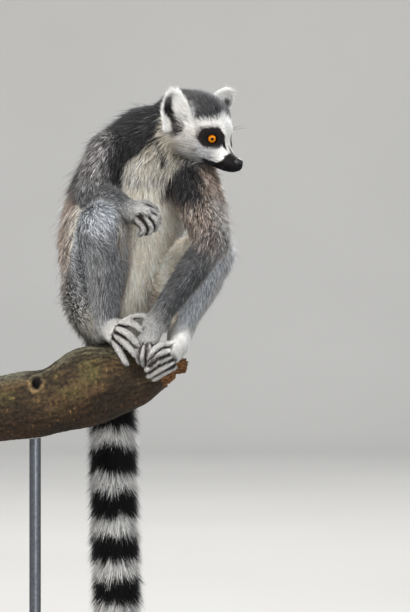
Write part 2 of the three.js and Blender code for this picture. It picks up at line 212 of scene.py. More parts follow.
def arm(side):
    shoulder, elbow, wrist = SHOULDER[side], ELBOW[side], WRIST[side]
    swell = 2 if side == "left" else 0
    upper = [(*shoulder, 26, 28), (*between(shoulder, elbow, 0.5), 24 + swell, 25), (*elbow, 20, 20)]
    fore = [
        (*elbow, 18, 18), (*between(elbow, wrist, 0.35), 18.5, 17.5), (*between(elbow, wrist, 0.75), 14, 13),
        (*wrist, 11, 10),
    ]
    return {
        f"upper_arm_{side}": [Loft(upper, inset=COAT_DEPTH["upper_arm"])],
        f"forearm_{side}": [Loft(fore, inset=(5.0, 4.6, 3.6, 2.2))],
    }


def leg(side):
    hip, knee, ankle = HIP[side], KNEE[side], ANKLE[side]
    thigh = [(*hip, 32, 38), (*between(hip, knee, 0.5, (0, 0, 4)), 30, 36), (*knee, 24, 25)]
    shin = [
        (*knee, 23, 23), (*between(knee, ankle, 0.35, (2, 5, 0)), 25, 24),
        (*between(knee, ankle, 0.72, (0, 2, 0)), 18, 17), (*ankle, 12.5, 12),
    ]
    return {
        f"thigh_{side}": [Loft(thigh, inset=COAT_DEPTH["thigh"])],
        f"shin_{side}": [Loft(shin, inset=(6, 6, 4.5, 2.4))],
    }


PALM = COAT_DEPTH["palm"]
SOLE = COAT_DEPTH["sole"]
HAND_RIGHT = [
    Loft([(6, -64, 704, 11, 10), (14, -71, 701, 13, 9), (19, -74, 699, 13, 8.5)], (0.3, -0.5, 0.8), PALM),
    digit([(8, -62, 710), (19, -62, 713), (28, -60, 708)]),
    digit([(20, -66, 706), (30, -68, 702), (32, -66, 694), (26, -62, 690)], 5),
    digit([(19, -72, 701), (29, -76, 696), (29, -74, 688), (23, -69, 686)], 5),
    digit([(16, -76, 697), (24, -80, 690), (23, -78, 684), (17, -73, 684)], 5),
    digit([(12, -78, 695), (18, -82, 687), (15, -79, 682)]),
]
HAND_LEFT = [
    Loft([(28, -54, 590, 11, 10), (24, -55, 579, 12, 8.5), (20, -54, 571, 11.5, 7.5)], (1, 0, 0), PALM),
    digit([(12, -50, 574), (9, -47, 566), (11, -44, 559)], 3.4),
    digit([(13, -56, 568), (10, -56, 560), (12, -50, 552)], 3.7),
    digit([(18, -58, 566), (16, -58, 557), (17, -52, 549)], 3.7),
    digit([(23, -58, 566), (23, -57, 557), (23, -51, 549)], 3.7),
    digit([(28, -55, 568), (29, -54, 560), (28, -48, 552)], 3.5),
]
FOOT_RIGHT = [
    Loft(
        [(-27, 8, 577, 11, 9), (*ANKLE["right"], 13, 11), (-12, -34, 582, 15, 10), (-7, -43, 581, 13, 8)],
        (0.5, -0.2, 0.75), SOLE,
    ),
    digit([(-4, -36, 592), (8, -44, 598), (20, -50, 598), (28, -52, 593)], 3.7),
    digit([(-6, -45, 590), (4, -54, 591), (15, -59, 585)], 4.5),
    digit([(-8, -49, 584), (1, -58, 580), (11, -61, 571)], 4.6),
    digit([(-10, -49, 578), (-1, -58, 570), (8, -59, 560)], 4.6),
    digit([(-13, -46, 574), (-8, -55, 563), (-1, -56, 551)], 4.3),
]
FOOT_LEFT = [
    Loft(
        [(58, -8, 575, 9, 9), (*ANKLE["left"], 13, 12), (51, -44, 566, 17, 12), (46, -54, 559, 17, 10)],
        (0.55, 0, 0.83), SOLE,
    ),
    digit([(46, -54, 569), (36, -65, 569), (28, -69, 563), (24, -66, 555)], 4.4),
    digit([(45, -57, 563), (35, -68, 560), (25, -67, 551)], 5),
    digit([(44, -58, 557), (34, -68, 553), (23, -65, 545)], 5.2),
    digit([(45, -57, 551), (35, -66, 546), (24, -62, 539)], 5),
    digit([(47, -54, 547), (38, -61, 541), (29, -57, 535)], 4.4),
]

SKULL_LOFT = Loft([(row[0], 0, *row[1:4]) for row in SKULL], side=(0, 1, 0), inset=[row[4] for row in SKULL])
PARTS = {
    "trunk": [Loft(TRUNK, inset=(7.5, 7.5, 7.5, 7.5, 8, 8.5, 8, 8), down=False)],
    "neck": [Loft(NECK, inset=(8, 7.5, 7, 6), down=False)],
    **arm("right"), **arm("left"), **leg("right"), **leg("left"),
    "hand_right": HAND_RIGHT, "hand_left": HAND_LEFT, "foot_right": FOOT_RIGHT, "foot_left": FOOT_LEFT,
    "tail": [Loft([(*row, row[3]) for row in TAIL], inset=[9, 10, 11] + [COAT_DEPTH["tail"]] * 8 + [11.5, 10])],
}
# The parts of each limb, where it leaves the trunk, how near that it blends and over what length.
LIMBS = [
    ([f"{part}_{side}" for part in parts], root[side], near, blend)
    for parts, root, near, blend in (
        (("upper_arm", "forearm", "hand"), SHOULDER, 60, 14), (("thigh", "shin", "foot"), HIP, 75, 16),
    )
    for side in SIDES
]
LIMBS.append((["tail"], TAIL[0][:3], 50, 12))


def eye_pose(sign):
    """The middle of an eye and the way it looks, in the head's frame."""
    yaw = math.radians(EYE["yaw"])
    middle = np.array([-EYE["back"], sign * EYE["side"], EYE["up"]])
    return middle, unit(np.array([math.cos(yaw), sign * math.sin(yaw), 0.06]))


EAR_SET = {  # side: its root, length, width, the way to its tip (backwards, outwards, up) and the way it opens
    -1: ((-70, 34, 18), 30, 31, (14, 5, 28), (0.6, 0.8)),
    1: ((-75, 26, 28), 34, 35, (0, 26, 28), (1.0, -0.15)),
}
EAR_CUP = 8
EAR_SKIN = 1.25  # half its thickness


def ear_frame(sign):
    root, height, _, lean, mouth = EAR_SET[sign]
    rise = unit(np.array([-lean[0], sign * lean[1], lean[2]], float))
    opens = np.array([mouth[0], sign * mouth[1], 0.0])
    opens = unit(opens - (opens @ rise) * rise)
    return root * np.array([1, sign, 1.0]), rise, opens, np.cross(rise, opens), height


def ear_local(q, sign):
    """Share of the way up the ear, share of the way across it, height off its sheet and its half width."""
    root, rise, opens, across, height = ear_frame(sign)
    rel = q - root
    t = rel @ rise / height
    narrowing = np.clip((t - 0.1) / 0.9, 0, 1) ** 2
    half = EAR_SET[sign][2] / 2 * np.sqrt(np.clip(1 - narrowing, 0.02, 1))
    s = rel @ across / half
    off = rel @ opens - EAR_CUP * (np.minimum(s * s, 1.6) - 0.6)
    return t, s, off, half


def ear_distance(q, sign):
    t, s, off, half = ear_local(q, sign)
    height = ear_frame(sign)[4]
    bend = 1 / np.sqrt(1 + (2 * EAR_CUP * np.clip(s, -1.2, 1.2) / half) ** 2)
    sheet = np.abs(off) * bend - EAR_SKIN
    rim = np.maximum((np.abs(s) - 0.97) * half, (t - 0.97) * height)
    foot = (-0.35 - t) * height
    return -join(-np.maximum(sheet, foot), -rim, 1.6)


MOUTH = [(-5.5, -8.6, 0.0), (-9, -9.0, 5.8), (-15, -8.8, 9.4), (-22, -7.6, 12.2), (-28, -5.2, 15.6), (-32, -2.4, 19)]


MOUTH_LOFTS = {
    sign: Loft([(x, sign * y, z, 0.75, 0.75) for x, z, y in MOUTH], side=(0, 0, 1), steps=2) for sign in SIGNS
}


def blob(q, middle, stretch, radius):
    """The distance from a ball stretched along the axes."""
    return np.linalg.norm((q - middle) / stretch, axis=1) - radius


def head_distance(points):
    q = to_head(points)
    d = SKULL_LOFT.measure(q)
    for lump in (CRANIUM, RIDGE):
        d = join(d, blob(q, lump["middle"], 1, lump["radius"] - lump["coat"]), lump["blend"])
    for sign in SIGNS:
        centre, _ = eye_pose(sign)
        d = join(d, blob(q, centre, 1, EYE["radius"] + 0.4), 3.5)  # the orbit and lids bulge over the eyeball
        d = join(d, blob(q, centre + (1.5, -sign * 1.0, 7.5), (1.3, 1, 0.75), 3.0), 4.0)  # the brow
        d = join(d, ear_distance(q, sign), 3.0)
        d = join(d, blob(q, (-12.5, sign * 6.2, -4.6), (1.5, 1, 1), 5.0), 4.0)  # the whisker pad
    for sign in SIGNS:
        d = carve(d, MOUTH_LOFTS[sign].measure(q), 1.2)
        centre, axis = eye_pose(sign)
        along = (q - centre) @ axis
        flat = q - centre - along[:, None] * axis
        width = flat @ unit(np.cross(axis, (0, 0, 1.0)))
        a, b = EYE["opening"]
        almond = np.hypot(width / a, flat[:, 2] / b)
        d = carve(d, np.maximum((almond - 1) * b, 2.5 - along), 1.0)
    return d


def part_distance(name, points):
    d = np.full(len(points), FAR)
    for loft in PARTS[name]:
        d = join(d, loft.measure(points), KNIT)
    return d


def skin_distance(points):
    d = part_distance("trunk", points)
    d = join(d, part_distance("neck", points), 16.0)
    d = join(d, head_distance(points), 9.0)
    for names, root, near, blend in LIMBS:
        limb = part_distance(names[0], points)
        for name in names[1:]:
            limb = join(limb, part_distance(name, points), 18.0 if name.startswith("shin") else 6.0)
        closeness = np.clip(1.3 - np.linalg.norm(points - root, axis=1) / near, 0, 1)
        d = join(d, limb, 0.5 + blend * closeness)
    return d


# ---- the skin
COARSE = 4  # samples to a block in the first, rough pass


def axis_samples(spans):
    """Sample places along one axis from spans (start, stop, step)."""
    places = [np.arange(start, stop, step) for start, stop, step in spans]
    return np.concatenate([*places, [spans[-1][1]]])


GRID = [  # finer where the head, hands and feet are
    axis_samples([(-80, -32, 1.9), (-32, 126, 1.25)]),
    axis_samples([(-92, 46, 1.25), (46, 112, 2.2)]),
    axis_samples([(30, 534, 3.2), (534, 604, 1.15), (604, 726, 2.0), (726, 846, 1.2)]),
]


def skin_at(points, size=150_000):
    """skin_distance for many points, some at a time."""
    return np.concatenate([skin_distance(points[i : i + size]) for i in range(0, len(points), size)])


def sample_field():
    """Distances on the grid, exact near the skin and rough elsewhere."""
    counts = [len(axis) for axis in GRID]
    blocks = [np.arange(0, n, COARSE) for n in counts]
    middles, sizes = [], []
    for axis, starts in zip(GRID, blocks):
        stops = np.minimum(starts + COARSE, len(axis) - 1)
        middles.append((axis[starts] + axis[stops]) / 2)
        sizes.append(axis[stops] - axis[starts])
    centres = np.stack(np.meshgrid(*middles, indexing="ij"), -1).reshape(-1, 3)
    spans = np.stack(np.meshgrid(*sizes, indexing="ij"), -1).reshape(-1, 3)
    rough = skin_at(centres)
    near = np.abs(rough) < 0.75 * np.linalg.norm(spans, axis=1) + 2.5
    shape = [len(b) for b in blocks]
    grow = [np.repeat(np.arange(n), COARSE)[:count] for n, count in zip(shape, counts)]
    field = rough.reshape(shape)[np.ix_(*grow)].astype(np.float32)
    close = near.reshape(shape)[np.ix_(*grow)]
    i, j, k = np.nonzero(close)
    points = np.stack([GRID[0][i], GRID[1][j], GRID[2][k]], 1)
    field[i, j, k] = skin_at(points)
    return field


CORNERS = [(i & 1, i >> 1 & 1, i >> 2) for i in range(8)]
CELL_EDGES = [(i, i | step) for step in (1, 2, 4) for i in range(8) if not i & step]


def surface_net(field, axes=GRID):
    """Vertices and quads of the surface where the field is zero: one vertex to each cell that it crosses."""
    inside = field < 0
    corner = [inside[a : a + inside.shape[0] - 1, b : b + inside.shape[1] - 1, c : c + inside.shape[2] - 1]
              for a, b, c in CORNERS]
    filled = sum(c.astype(np.int8) for c in corner)
    cells = np.argwhere((filled > 0) & (filled < 8))
    total = np.zeros((len(cells), 3))
    hits = np.zeros(len(cells))
    place = [axis.astype(float) for axis in axes]
    for start, stop in CELL_EDGES:
        a = cells + CORNERS[start]
        b = cells + CORNERS[stop]
        fa = field[a[:, 0], a[:, 1], a[:, 2]]
        fb = field[b[:, 0], b[:, 1], b[:, 2]]
        crossed = (fa < 0) != (fb < 0)
        t = np.where(crossed, fa / np.where(crossed, fa - fb, 1), 0)
        pa = np.stack([place[i][a[:, i]] for i in range(3)], 1)
        pb = np.stack([place[i][b[:, i]] for i in range(3)], 1)
        total += np.where(crossed[:, None], mix(pa, pb, t[:, None]), 0)
        hits += crossed
    vertices = total / hits[:, None]
    number = np.full(filled.shape, -1, np.int32)
    number[tuple(cells.T)] = np.arange(len(cells))
    quads = []
    for axis in range(3):
        u, v = [(1, 2), (2, 0), (0, 1)][axis]
        first = np.take(inside, range(inside.shape[axis] - 1), axis)
        second = np.take(inside, range(1, inside.shape[axis]), axis)
        edges = np.argwhere(first != second)
        edges = edges[(edges[:, u] > 0) & (edges[:, v] > 0)]
        edges = edges[(edges[:, u] < filled.shape[u]) & (edges[:, v] < filled.shape[v])]
        leaving = first[tuple(edges.T)]
        loop = []
        for du, dv in ((1, 1), (0, 1), (0, 0), (1, 0)):
            at = edges.copy()
            at[:, u] -= du
            at[:, v] -= dv
            loop.append(number[tuple(at.T)])
        quad = np.stack(loop, 1)
        quads.append(np.where(leaving[:, None], quad, quad[:, ::-1]))
    return vertices, np.concatenate(quads)


def gradient(points, step=0.35):
    ahead, behind = ([skin_at(points + s * axis) for axis in np.eye(3)] for s in (step, -step))
    return np.stack([a - b for a, b in zip(ahead, behind)], 1) / (2 * step)


def settle(points, rounds, most=0.8):
    """Moves points onto the skin's true surface, at most a little in each round."""
    for _ in range(rounds):
        g = gradient(points)
        d = skin_at(points)
        move = -d[:, None] * g / np.maximum((g * g).sum(1, keepdims=True), 0.25)
        points = points + np.clip(move, -most, most)
    return points


# ---- what each place of the skin is like
NAMES = [*PARTS, "head", "ear_right", "ear_left"]
EARS = {"ear_right": -1, "ear_left": 1}
# part: length of its hair, how far it is lifted (degrees), width of a tuft, tufts to a square millimetre
STYLE = {
    "trunk": (16, 34, 0.85, 0.62), "neck": (13, 30, 0.85, 0.8), "upper_arm": (12, 34, 0.9, 0.85),
    "forearm": (8, 34, 0.62, 1.9), "thigh": (13, 34, 0.95, 0.7), "shin": (8.5, 34, 0.68, 1.7),
    "hand": (3.6, 22, 0.5, 2.2), "foot": (4.2, 20, 0.5, 2.2), "tail": (21, 38, 1.2, 0.75),
    "head": (9, 27, 0.5, 2.5), "ear": (6, 24, 0.42, 2.4),
}
GRAVITY = np.array([0, 0, -1.0])
SPREAD = 3.5  # how far one part's look fades into the next's
EAR_SPREAD = 0.8  # the same at the ears' edges


def noise(points, wavelength, seed):
    """Smooth values about 0, in -1 to 1, from waves in many directions."""
    random = np.random.default_rng(seed)
    total = np.zeros(len(points))
    for _ in range(7):
        way = unit(random.normal(size=3)) * 2 * math.pi / (wavelength * random.uniform(0.7, 1.5))
        total += np.sin(points @ way + random.uniform(0, 2 * math.pi))
    return total / 4


def describe(points):
    """For each point: the weight of every part there, the way its hair lies and its place along the part."""
    distance, flow, along = {}, {}, {}
    at = np.arange(len(points))
    for name, lofts in PARTS.items():
        measures = zip(*(loft.measure(points, full=True) for loft in lofts))
        d, f, a = (np.stack(values) for values in measures)
        pick = d.argmin(0), at
        distance[name], flow[name], along[name] = np.minimum(d[pick], FAR), f[pick], a[pick]
    q = to_head(points)
    distance["head"], lie, along["head"] = SKULL_LOFT.measure(q, full=True)
    flow["head"] = lie @ HEAD_AXES.T
    for name, sign in EARS.items():
        distance[name] = ear_distance(q, sign)
        _, rise, _, across, _ = ear_frame(sign)
        along[name], s, off, _ = ear_local(q, sign)
        fan = unit(rise + across * np.clip(s, -1, 1)[:, None] * 0.7)
        over_hollow = (ramp(off, -0.2, 0.6) * ramp(s * -sign, -0.1, 0.2))[:, None]
        fan = unit(mix(fan, unit(0.8 * rise + 0.75 * sign * across), over_hollow))
        flow[name] = fan @ HEAD_AXES.T
    nearest = np.min([distance[n] for n in NAMES], axis=0)
    weight = {}
    for n in NAMES:
        fade = EAR_SPREAD if n in EARS else SPREAD
        weight[n] = np.exp(-np.clip(distance[n] - nearest, 0, FAR) / fade)
    total = sum(weight.values())
    weight = {n: w / total for n, w in weight.items()}
    for sign in SIGNS:  # hair bursts outwards from the front of each ear's root
        rel = q - (-62, sign * 28, 13)
        burst = 0.95 * np.exp(-((np.linalg.norm(rel, axis=1) / 9) ** 2))[:, None]
        flow["head"] = mix(flow["head"], unit(rel) @ HEAD_AXES.T, burst)
    for side in SIDES:  # over the knee the hair runs on from the thigh down the shin
        near = np.exp(-((np.linalg.norm(points - KNEE[side], axis=1) / 42) ** 2))[:, None]
        names = "thigh_" + side, "shin_" + side
        over_knee = 0.5 * sum(flow[n] for n in names)
        over_knee[(over_knee == 0).all(1)] = GRAVITY
        for n in names:
            flow[n] = mix(flow[n], over_knee, near)
    lie = sum(flow[n] * weight[n][:, None] for n in NAMES)
    return weight, lie, along


# The way the back of each hand and foot faces.
HAND_BACK = {
    "hand_right": np.array([0.5, -0.5, 0.7]), "hand_left": np.array([0.2, -0.9, 0.35]),
    "foot_right": np.array([0.1, -0.7, 0.7]), "foot_left": np.array([0.3, -0.85, 0.3]),
}


# ---- markings, as sRGB colours
CHARCOAL = np.array([0.18, 0.178, 0.182])
GREY = np.array([0.345, 0.345, 0.35])
KNEE_GREY = np.array([0.5, 0.515, 0.535])
ROSY = np.array([0.46, 0.41, 0.375])
CREAM = np.array([0.97, 0.93, 0.85])
PALE = np.array([0.78, 0.77, 0.75])
WHITE = np.array([0.9, 0.89, 0.87])
BLACK = np.array([0.035, 0.033, 0.036])
MASK = np.array([0.17, 0.135, 0.14])
TAN, BEIGE, SHADED_CHEEK, TEMPLE = (0.72, 0.52, 0.36), (0.77, 0.71, 0.62), (0.6, 0.6, 0.605), (0.74, 0.72, 0.69)
EAR_ROOT, EAR_GREY, EAR_HOLLOW = (0.3, 0.28, 0.27), (0.27, 0.26, 0.26), (0.06, 0.055, 0.055)
MOUTH_CORNER, RUFF, CHEST_GREY_AND_SHADE = (0.42, 0.35, 0.31), (0.6, 0.57, 0.51), (0.7, 0.68, 0.64)
# Greys painted lighter than the coat, as light on the left elbow's outer side and on the shins' outer sides.
ELBOW_LIT_GREY, SHIN_LIT_PALE = (0.6, 0.575, 0.55), (0.68, 0.67, 0.66)
TOE_GREY, DARK_SKIN_AND_CLEFT_SHADE = (0.47, 0.45, 0.435), (0.13, 0.11, 0.105)
# Pale grey of each hand and foot, each brighter or darker as painted light and shade; the left foot is painted white
# where light falls on it.
HAND_TONES_AND_LIGHT = {
    "hand_right": PALE * 0.9, "hand_left": PALE * 0.98, "foot_right": PALE * 1.05, "foot_left": WHITE,
}
EYE_SPOT = (33.7, 13.9)  # how far back and up the middle of the dark eye patch is
RING_PERIOD = 45.8  # from one black ring of the tail to the next
RING_BLACK_SHARE = 0.62
RING_START = 453.8  # height of the middle of one black ring, where the tail hangs straight


def paint(base, *layers):
    """A colour with others laid over it, each given with its share from 0 to 1 at each point."""
    base = np.asarray(base)
    for colour, share in layers:
        base = mix(base, colour, np.clip(share, 0, 1)[:, None])
    return base


def blend_of(a, b, share):
    """A colour between two others, at each point."""
    return mix(a, b, share[:, None])


def face_colour(q, speckle):
    """The head's markings in its own frame: dark cap, white brow and cheeks, dark eye patches and muzzle."""
    back, side, up = -q[:, 0], np.abs(q[:, 1]), q[:, 2]
    wobble = 1.2 * speckle
    cheek = ramp(back + wobble, 20, 31) * ramp(up + 0.3 * speckle, 9, 4)
    temple = ramp(back + wobble, 42, 50) * ramp(side, 12, 18)
    throat = ramp(back + 1.5 * wobble, 52, 66) * ramp(up, 8, -2)

    cap_edge = 19.3 + 0.62 * (57 - np.minimum(back, 57)) - 1.6 * np.maximum(back - 57, 0)
    peak = 0.3 * np.maximum(7 - side, 0)
    cap = ramp(up + wobble, cap_edge - 1, cap_edge + 2.5) * ramp(back + wobble, 37.5 + peak, 41 + peak)
    cap *= 1 - ramp(back, 63, 70) * ramp(up, 20, 12)
    cap *= 1 - ramp(side, 24.5, 27) * ramp(back + 0.3 * up, 74, 78)
    nape = ramp(back + 0.25 * up + wobble, 86, 90)
    burst = np.linalg.norm(np.stack([back - 62, side - 28, up - 13], 1), axis=1)

    x, z = back - EYE_SPOT[0], up - EYE_SPOT[1]
    from_eye = np.hypot(x, z)
    towards_brow = (0.53 * z - 0.85 * x) / np.maximum(from_eye, 1)
    edge = from_eye + 2.2 * ramp(towards_brow, 0.6, 1.0) + 0.5 * speckle
    patch = ramp(edge, 12.0, 10.4) * ramp(side, 4.0, 7)

    muzzle_edge = 16.0 + 0.4 * np.maximum(-up - 1, 0) + 2.0 * np.maximum(-up - 6, 0) - 0.5 * np.maximum(4 - side, 0)
    muzzle = ramp(back + 0.7 * wobble, muzzle_edge + 1.3, muzzle_edge - 1.3)
    lip = ramp(up + 0.25 * speckle, -8.0, -9.4) * ramp(back, 38.5, 34) * ramp(up, -15.5, -12.5 + 0.12 * (back - 20))
    front_jaw = ramp(up, -8, -9.4) * ramp(back, 33, 28)
    way = np.clip(((back - 24) * -9 + (up - 12.5) * -4.5) / 101.25, 0, 1)  # from the eye's corner to the muzzle
    tear = ramp(np.hypot(back - (24 - 9 * way), up - (12.5 - 4.5 * way)), 3.6, 2.0) * ramp(side, 4.0, 6.0)
    bridge = ramp(side, 3.2, 0.8) * ramp(back, 26, 14)
    dark = np.max([muzzle, lip, front_jaw, 0.9 * tear, 0.8 * bridge], axis=0)
    mouth_corner = np.hypot(back - 44.6, up + 3.3)
    return paint(
        # The lower cheeks are painted grey as shade on their white fur.
        WHITE * 0.97, (SHADED_CHEEK, 0.8 * cheek), (TEMPLE, 0.85 * temple), (BEIGE, 0.85 * throat),
        (CHARCOAL * 1.3, cap), (CHARCOAL, nape), (EAR_ROOT, 0.6 * ramp(burst, 6.5, 2.0)),
        (blend_of(BLACK * 1.3, MASK, ramp(edge, 4.5, 9)), patch),
        (blend_of(BLACK * 1.6, MASK, 0.8 * ramp(up, -8, 2)), dark),
        (MOUTH_CORNER, 0.6 * ramp(mouth_corner, 4.2, 1.2)),
    )


def ear_colour(q, sign):
    t, s, off, _ = ear_local(q, sign)
    inside = ramp(off, -0.5, 0.4)
    from_middle = np.abs(s * -sign + 0.5 - 0.45 * ramp(t, 0.35, -0.1))
    grey = inside * ramp(from_middle, 0.42, 0.25) * ramp(t, 0.9, 0.75)
    hollow = inside * ramp(from_middle, 0.34, 0.18) * ramp(t, 0.6, 0.4)
    return paint(WHITE * 1.03, (EAR_GREY, 0.9 * grey), (EAR_HOLLOW, hollow))


def tail_colour(along, speckle, ragged):
    """Black and white rings along the tail, their lower edges ragged, ending in a black tip."""
    straight = Loft(PARTS["tail"][0].rows, steps=1)
    mark = np.interp(RING_START, straight.rows[::-1, 2], straight.along[::-1])
    phase = (along - mark + ragged) / RING_PERIOD
    place = np.abs(phase - np.round(phase)) * 2
    white = ramp(place + 0.06 * speckle, RING_BLACK_SHARE - 0.07, RING_BLACK_SHARE + 0.07)
    white *= ramp(along, straight.along[-1] - 14, straight.along[-1] - 24)
    # The white rings are painted a little grey, as shade on the tail hanging under the branch.
    return paint(BLACK * 1.1, (WHITE * 0.84, white), (GREY * 1.1, ramp(along, 34, 12)))


# Height, and there how far across the chest's middle is, and how wide its pale front.
MIDLINE = [(700, 6), (717, 8), (750, 13), (764, 18), (779, 32), (800, 46)]
BIB = [(700, 20), (717, 20), (729, 21), (739, 23), (750, 26), (764, 23), (770, 17), (786, 17), (800, 14)]


def off_midline(points):
    heights, across = zip(*MIDLINE)
    return np.abs(points @ ACROSS - np.interp(points[:, 2], heights, across))


def bib(points, normals, speckle):
    """1 on the pale front of the neck and chest."""
    heights, half = zip(*BIB)
    inside = ramp(off_midline(points) - np.interp(points[:, 2], heights, half) + 1.5 * speckle, 2.5, -2.0)
    return inside * ramp(normals @ FRONT, 0.1, 0.4)


def limb_colour(name, points, normals, along, speckle):
    left = name.endswith("left")
    outer = (normals @ ACROSS) * (1 if left else -1)
    frontal, height = normals @ FRONT, points[:, 2]
    part = slot_part(name)
    if part == "upper_arm":
        if left:
            base = mix(ROSY, GREY, 0.35) * (1.03, 0.97, 0.92)
            # The outer side near the elbow is painted lighter, as light falling there.
            layers = [(ELBOW_LIT_GREY, ramp(along, 30, 66) * ramp(outer, -0.5, 0.4))]
        else:
            base, layers = mix(ROSY, GREY, 0.8), []
        reach = np.interp(height, (735, 773), (52, 56) if left else (42, 58))
        foot = 708 if left else 730
        # The dark shoulder patch: partly the coat's own dark fur, partly painted shade, so it is kept to the arm's
        # front.
        shoulder = ramp(off_midline(points) + 3 * speckle, reach, reach - 14)
        shoulder *= ramp(height + 4 * speckle, foot, foot + 16) * ramp(frontal, -0.6, 0.1)
        layers += [(GREY, ramp(along, 30, 56) * (0.2 if left else 1.0)), (CHARCOAL, shoulder)]
        return paint(base, *layers, (CREAM * 0.9, bib(points, normals, speckle)))
    if part == "forearm":
        # The left forearm is painted darker as shade, and the outer side, mostly on the left, paler as painted light.
        return paint(GREY * (0.86 if left else 0.97), (PALE * 0.9, 0.35 * ramp(along, 75, 100)),
                     (PALE * 0.75, ramp(outer, 0.45, 0.9) * (0.8 if left else 0.2)))
    if part == "thigh":
        edge = 0.1 * speckle - outer
        return paint(
            mix(GREY, KNEE_GREY, 1.0 if left else 0.5),
            # The top and outer side are painted lighter, as light falling there.
            (KNEE_GREY * 1.1, ramp(along, 45, 75) * ramp(normals[:, 2] + 0.5 * outer, -0.1, 0.6)),
            (PALE, 0.75 * ramp(height + 3 * speckle, 606, 588)),
            (TAN, ramp(edge, 0.25, 0.5) * 0.7), (CREAM, ramp(edge, 0.4, 0.7)),
        )
    if part == "shin":
        edge = 0.1 * speckle - 0.8 * outer - 0.5 * frontal
        return paint(
            KNEE_GREY * 1.1 if left else mix(GREY, KNEE_GREY, 0.2),
            # Near the knee the top and outer side, and the outer side of the left shin, are painted lighter as light
            # falling there.
            (KNEE_GREY * 1.08, ramp(along, 60, 5) * ramp(normals[:, 2] + 0.6 * outer, -0.2, 0.6)),
            (SHIN_LIT_PALE, ramp(outer, 0.1, 0.6) * (0.9 if left else 0.25)),
            (TAN, ramp(edge, 0.35, 0.55) * 0.8), (CREAM, ramp(edge, 0.5, 0.75)),
        )
    digits = np.min([loft.measure(points) for loft in PARTS[name][1:]], axis=0)
    toes = ramp(PARTS[name][0].measure(points) - digits, 1.5, 7)
    # Clefts between the digits are painted dark as shade; palms and soles are dark skin.
    shade = cleft_shade_and_dark_palm(name, points, normals)
    return paint(HAND_TONES_AND_LIGHT[name], (TOE_GREY, 0.35 * toes), (DARK_SKIN_AND_CLEFT_SHADE, (0.9 if left else 1.0) * shade))


def cleft_shade_and_dark_palm(name, points, normals):
    """1 in the clefts between fingers or toes, painted dark as shade there, and under them, where no hair grows and
    the skin is dark.
    """
    apart = np.sort(np.stack([loft.measure(points) for loft in PARTS[name][1:]]), axis=0)
    cleft = ramp(apart[1] - apart[0], 3.4, 1.0) * ramp(apart[0], 4.5, 2.0)
    palm = ramp(normals @ HAND_BACK[name], 0.05, -0.45) * ramp(apart[0], 8, 3)
    return np.maximum(cleft, palm)


def trunk_colour(points, normals, speckle):
    frontal, across, height = normals @ FRONT, points @ ACROSS, points[:, 2]
    right = ramp(across, 12, -12)
    nape = ramp(height + 6 * speckle, mix(742, 716, right), mix(774, 752, right))
    outer = ramp(across - 0.55 * (height - 740), -34, -60)
    shoulder = ramp(height + 3 * speckle, 716, 734) * ramp(off_midline(points), 60, 46)
    belly = ramp(frontal + 0.12 * speckle, 0.12, 0.42) * (1 - shoulder)
    return paint(
        ROSY, (CHARCOAL * 1.1, nape * (1 - 0.8 * outer)), (GREY * 1.1, 0.6 * ramp(height, 640, 596)),
        (CREAM * 0.92, 0.7 * ramp(height + 3 * speckle, 632, 602)),
        # The dark shoulder on the chest's front: partly dark fur, partly painted shade.
        (CHARCOAL, shoulder * ramp(frontal, -0.1, 0.3)), (CREAM, belly),
        # Higher up the pale bib turns grey: partly grey hair, partly painted shade.
        (blend_of(CREAM, CHEST_GREY_AND_SHADE, ramp(height, 725, 745)), bib(points, normals, speckle) * ramp(height, 708, 722)),
    )


# Lines painted with shade: where the ruff folds under the ear, and in the cleft at the foot of the right ear.
FOLD_SHADE_LINE = np.array([(34, -27, 788), (35, -25, 780), (38, -22, 773), (40, -18, 766), (38, -15, 760)], float)
SLIT_SHADE_LINE = np.array([(46, -41, 812), (49, -40, 800), (52, -40, 792), (56, -39, 785)], float)


def near_line(points, line):
    """How far each point is from a line through the given places."""
    best = np.full(len(points), FAR)
    for a, b in zip(line[:-1], line[1:]):
        t = np.clip((points - a) @ (b - a) / ((b - a) @ (b - a)), 0, 1)
        best = np.minimum(best, np.linalg.norm(points - a - t[:, None] * (b - a), axis=1))
    return best


def neck_colour(points, normals, speckle):
    q = to_head(points)
    ruff = ramp(-q[:, 0] + 0.1 * q[:, 2] + 1.5 * speckle, 90, 84) * ramp(normals @ FRONT, -0.35, 0.1)
    pale = np.maximum(bib(points, normals, speckle), ruff)
    pale *= 1 - ramp(points[:, 0] + 2 * speckle, 56, 62) * ramp(points[:, 2], 774, 764)
    return paint(CHARCOAL, (blend_of(RUFF, CREAM * 0.85, ramp(points[:, 2], 770, 752)), pale))


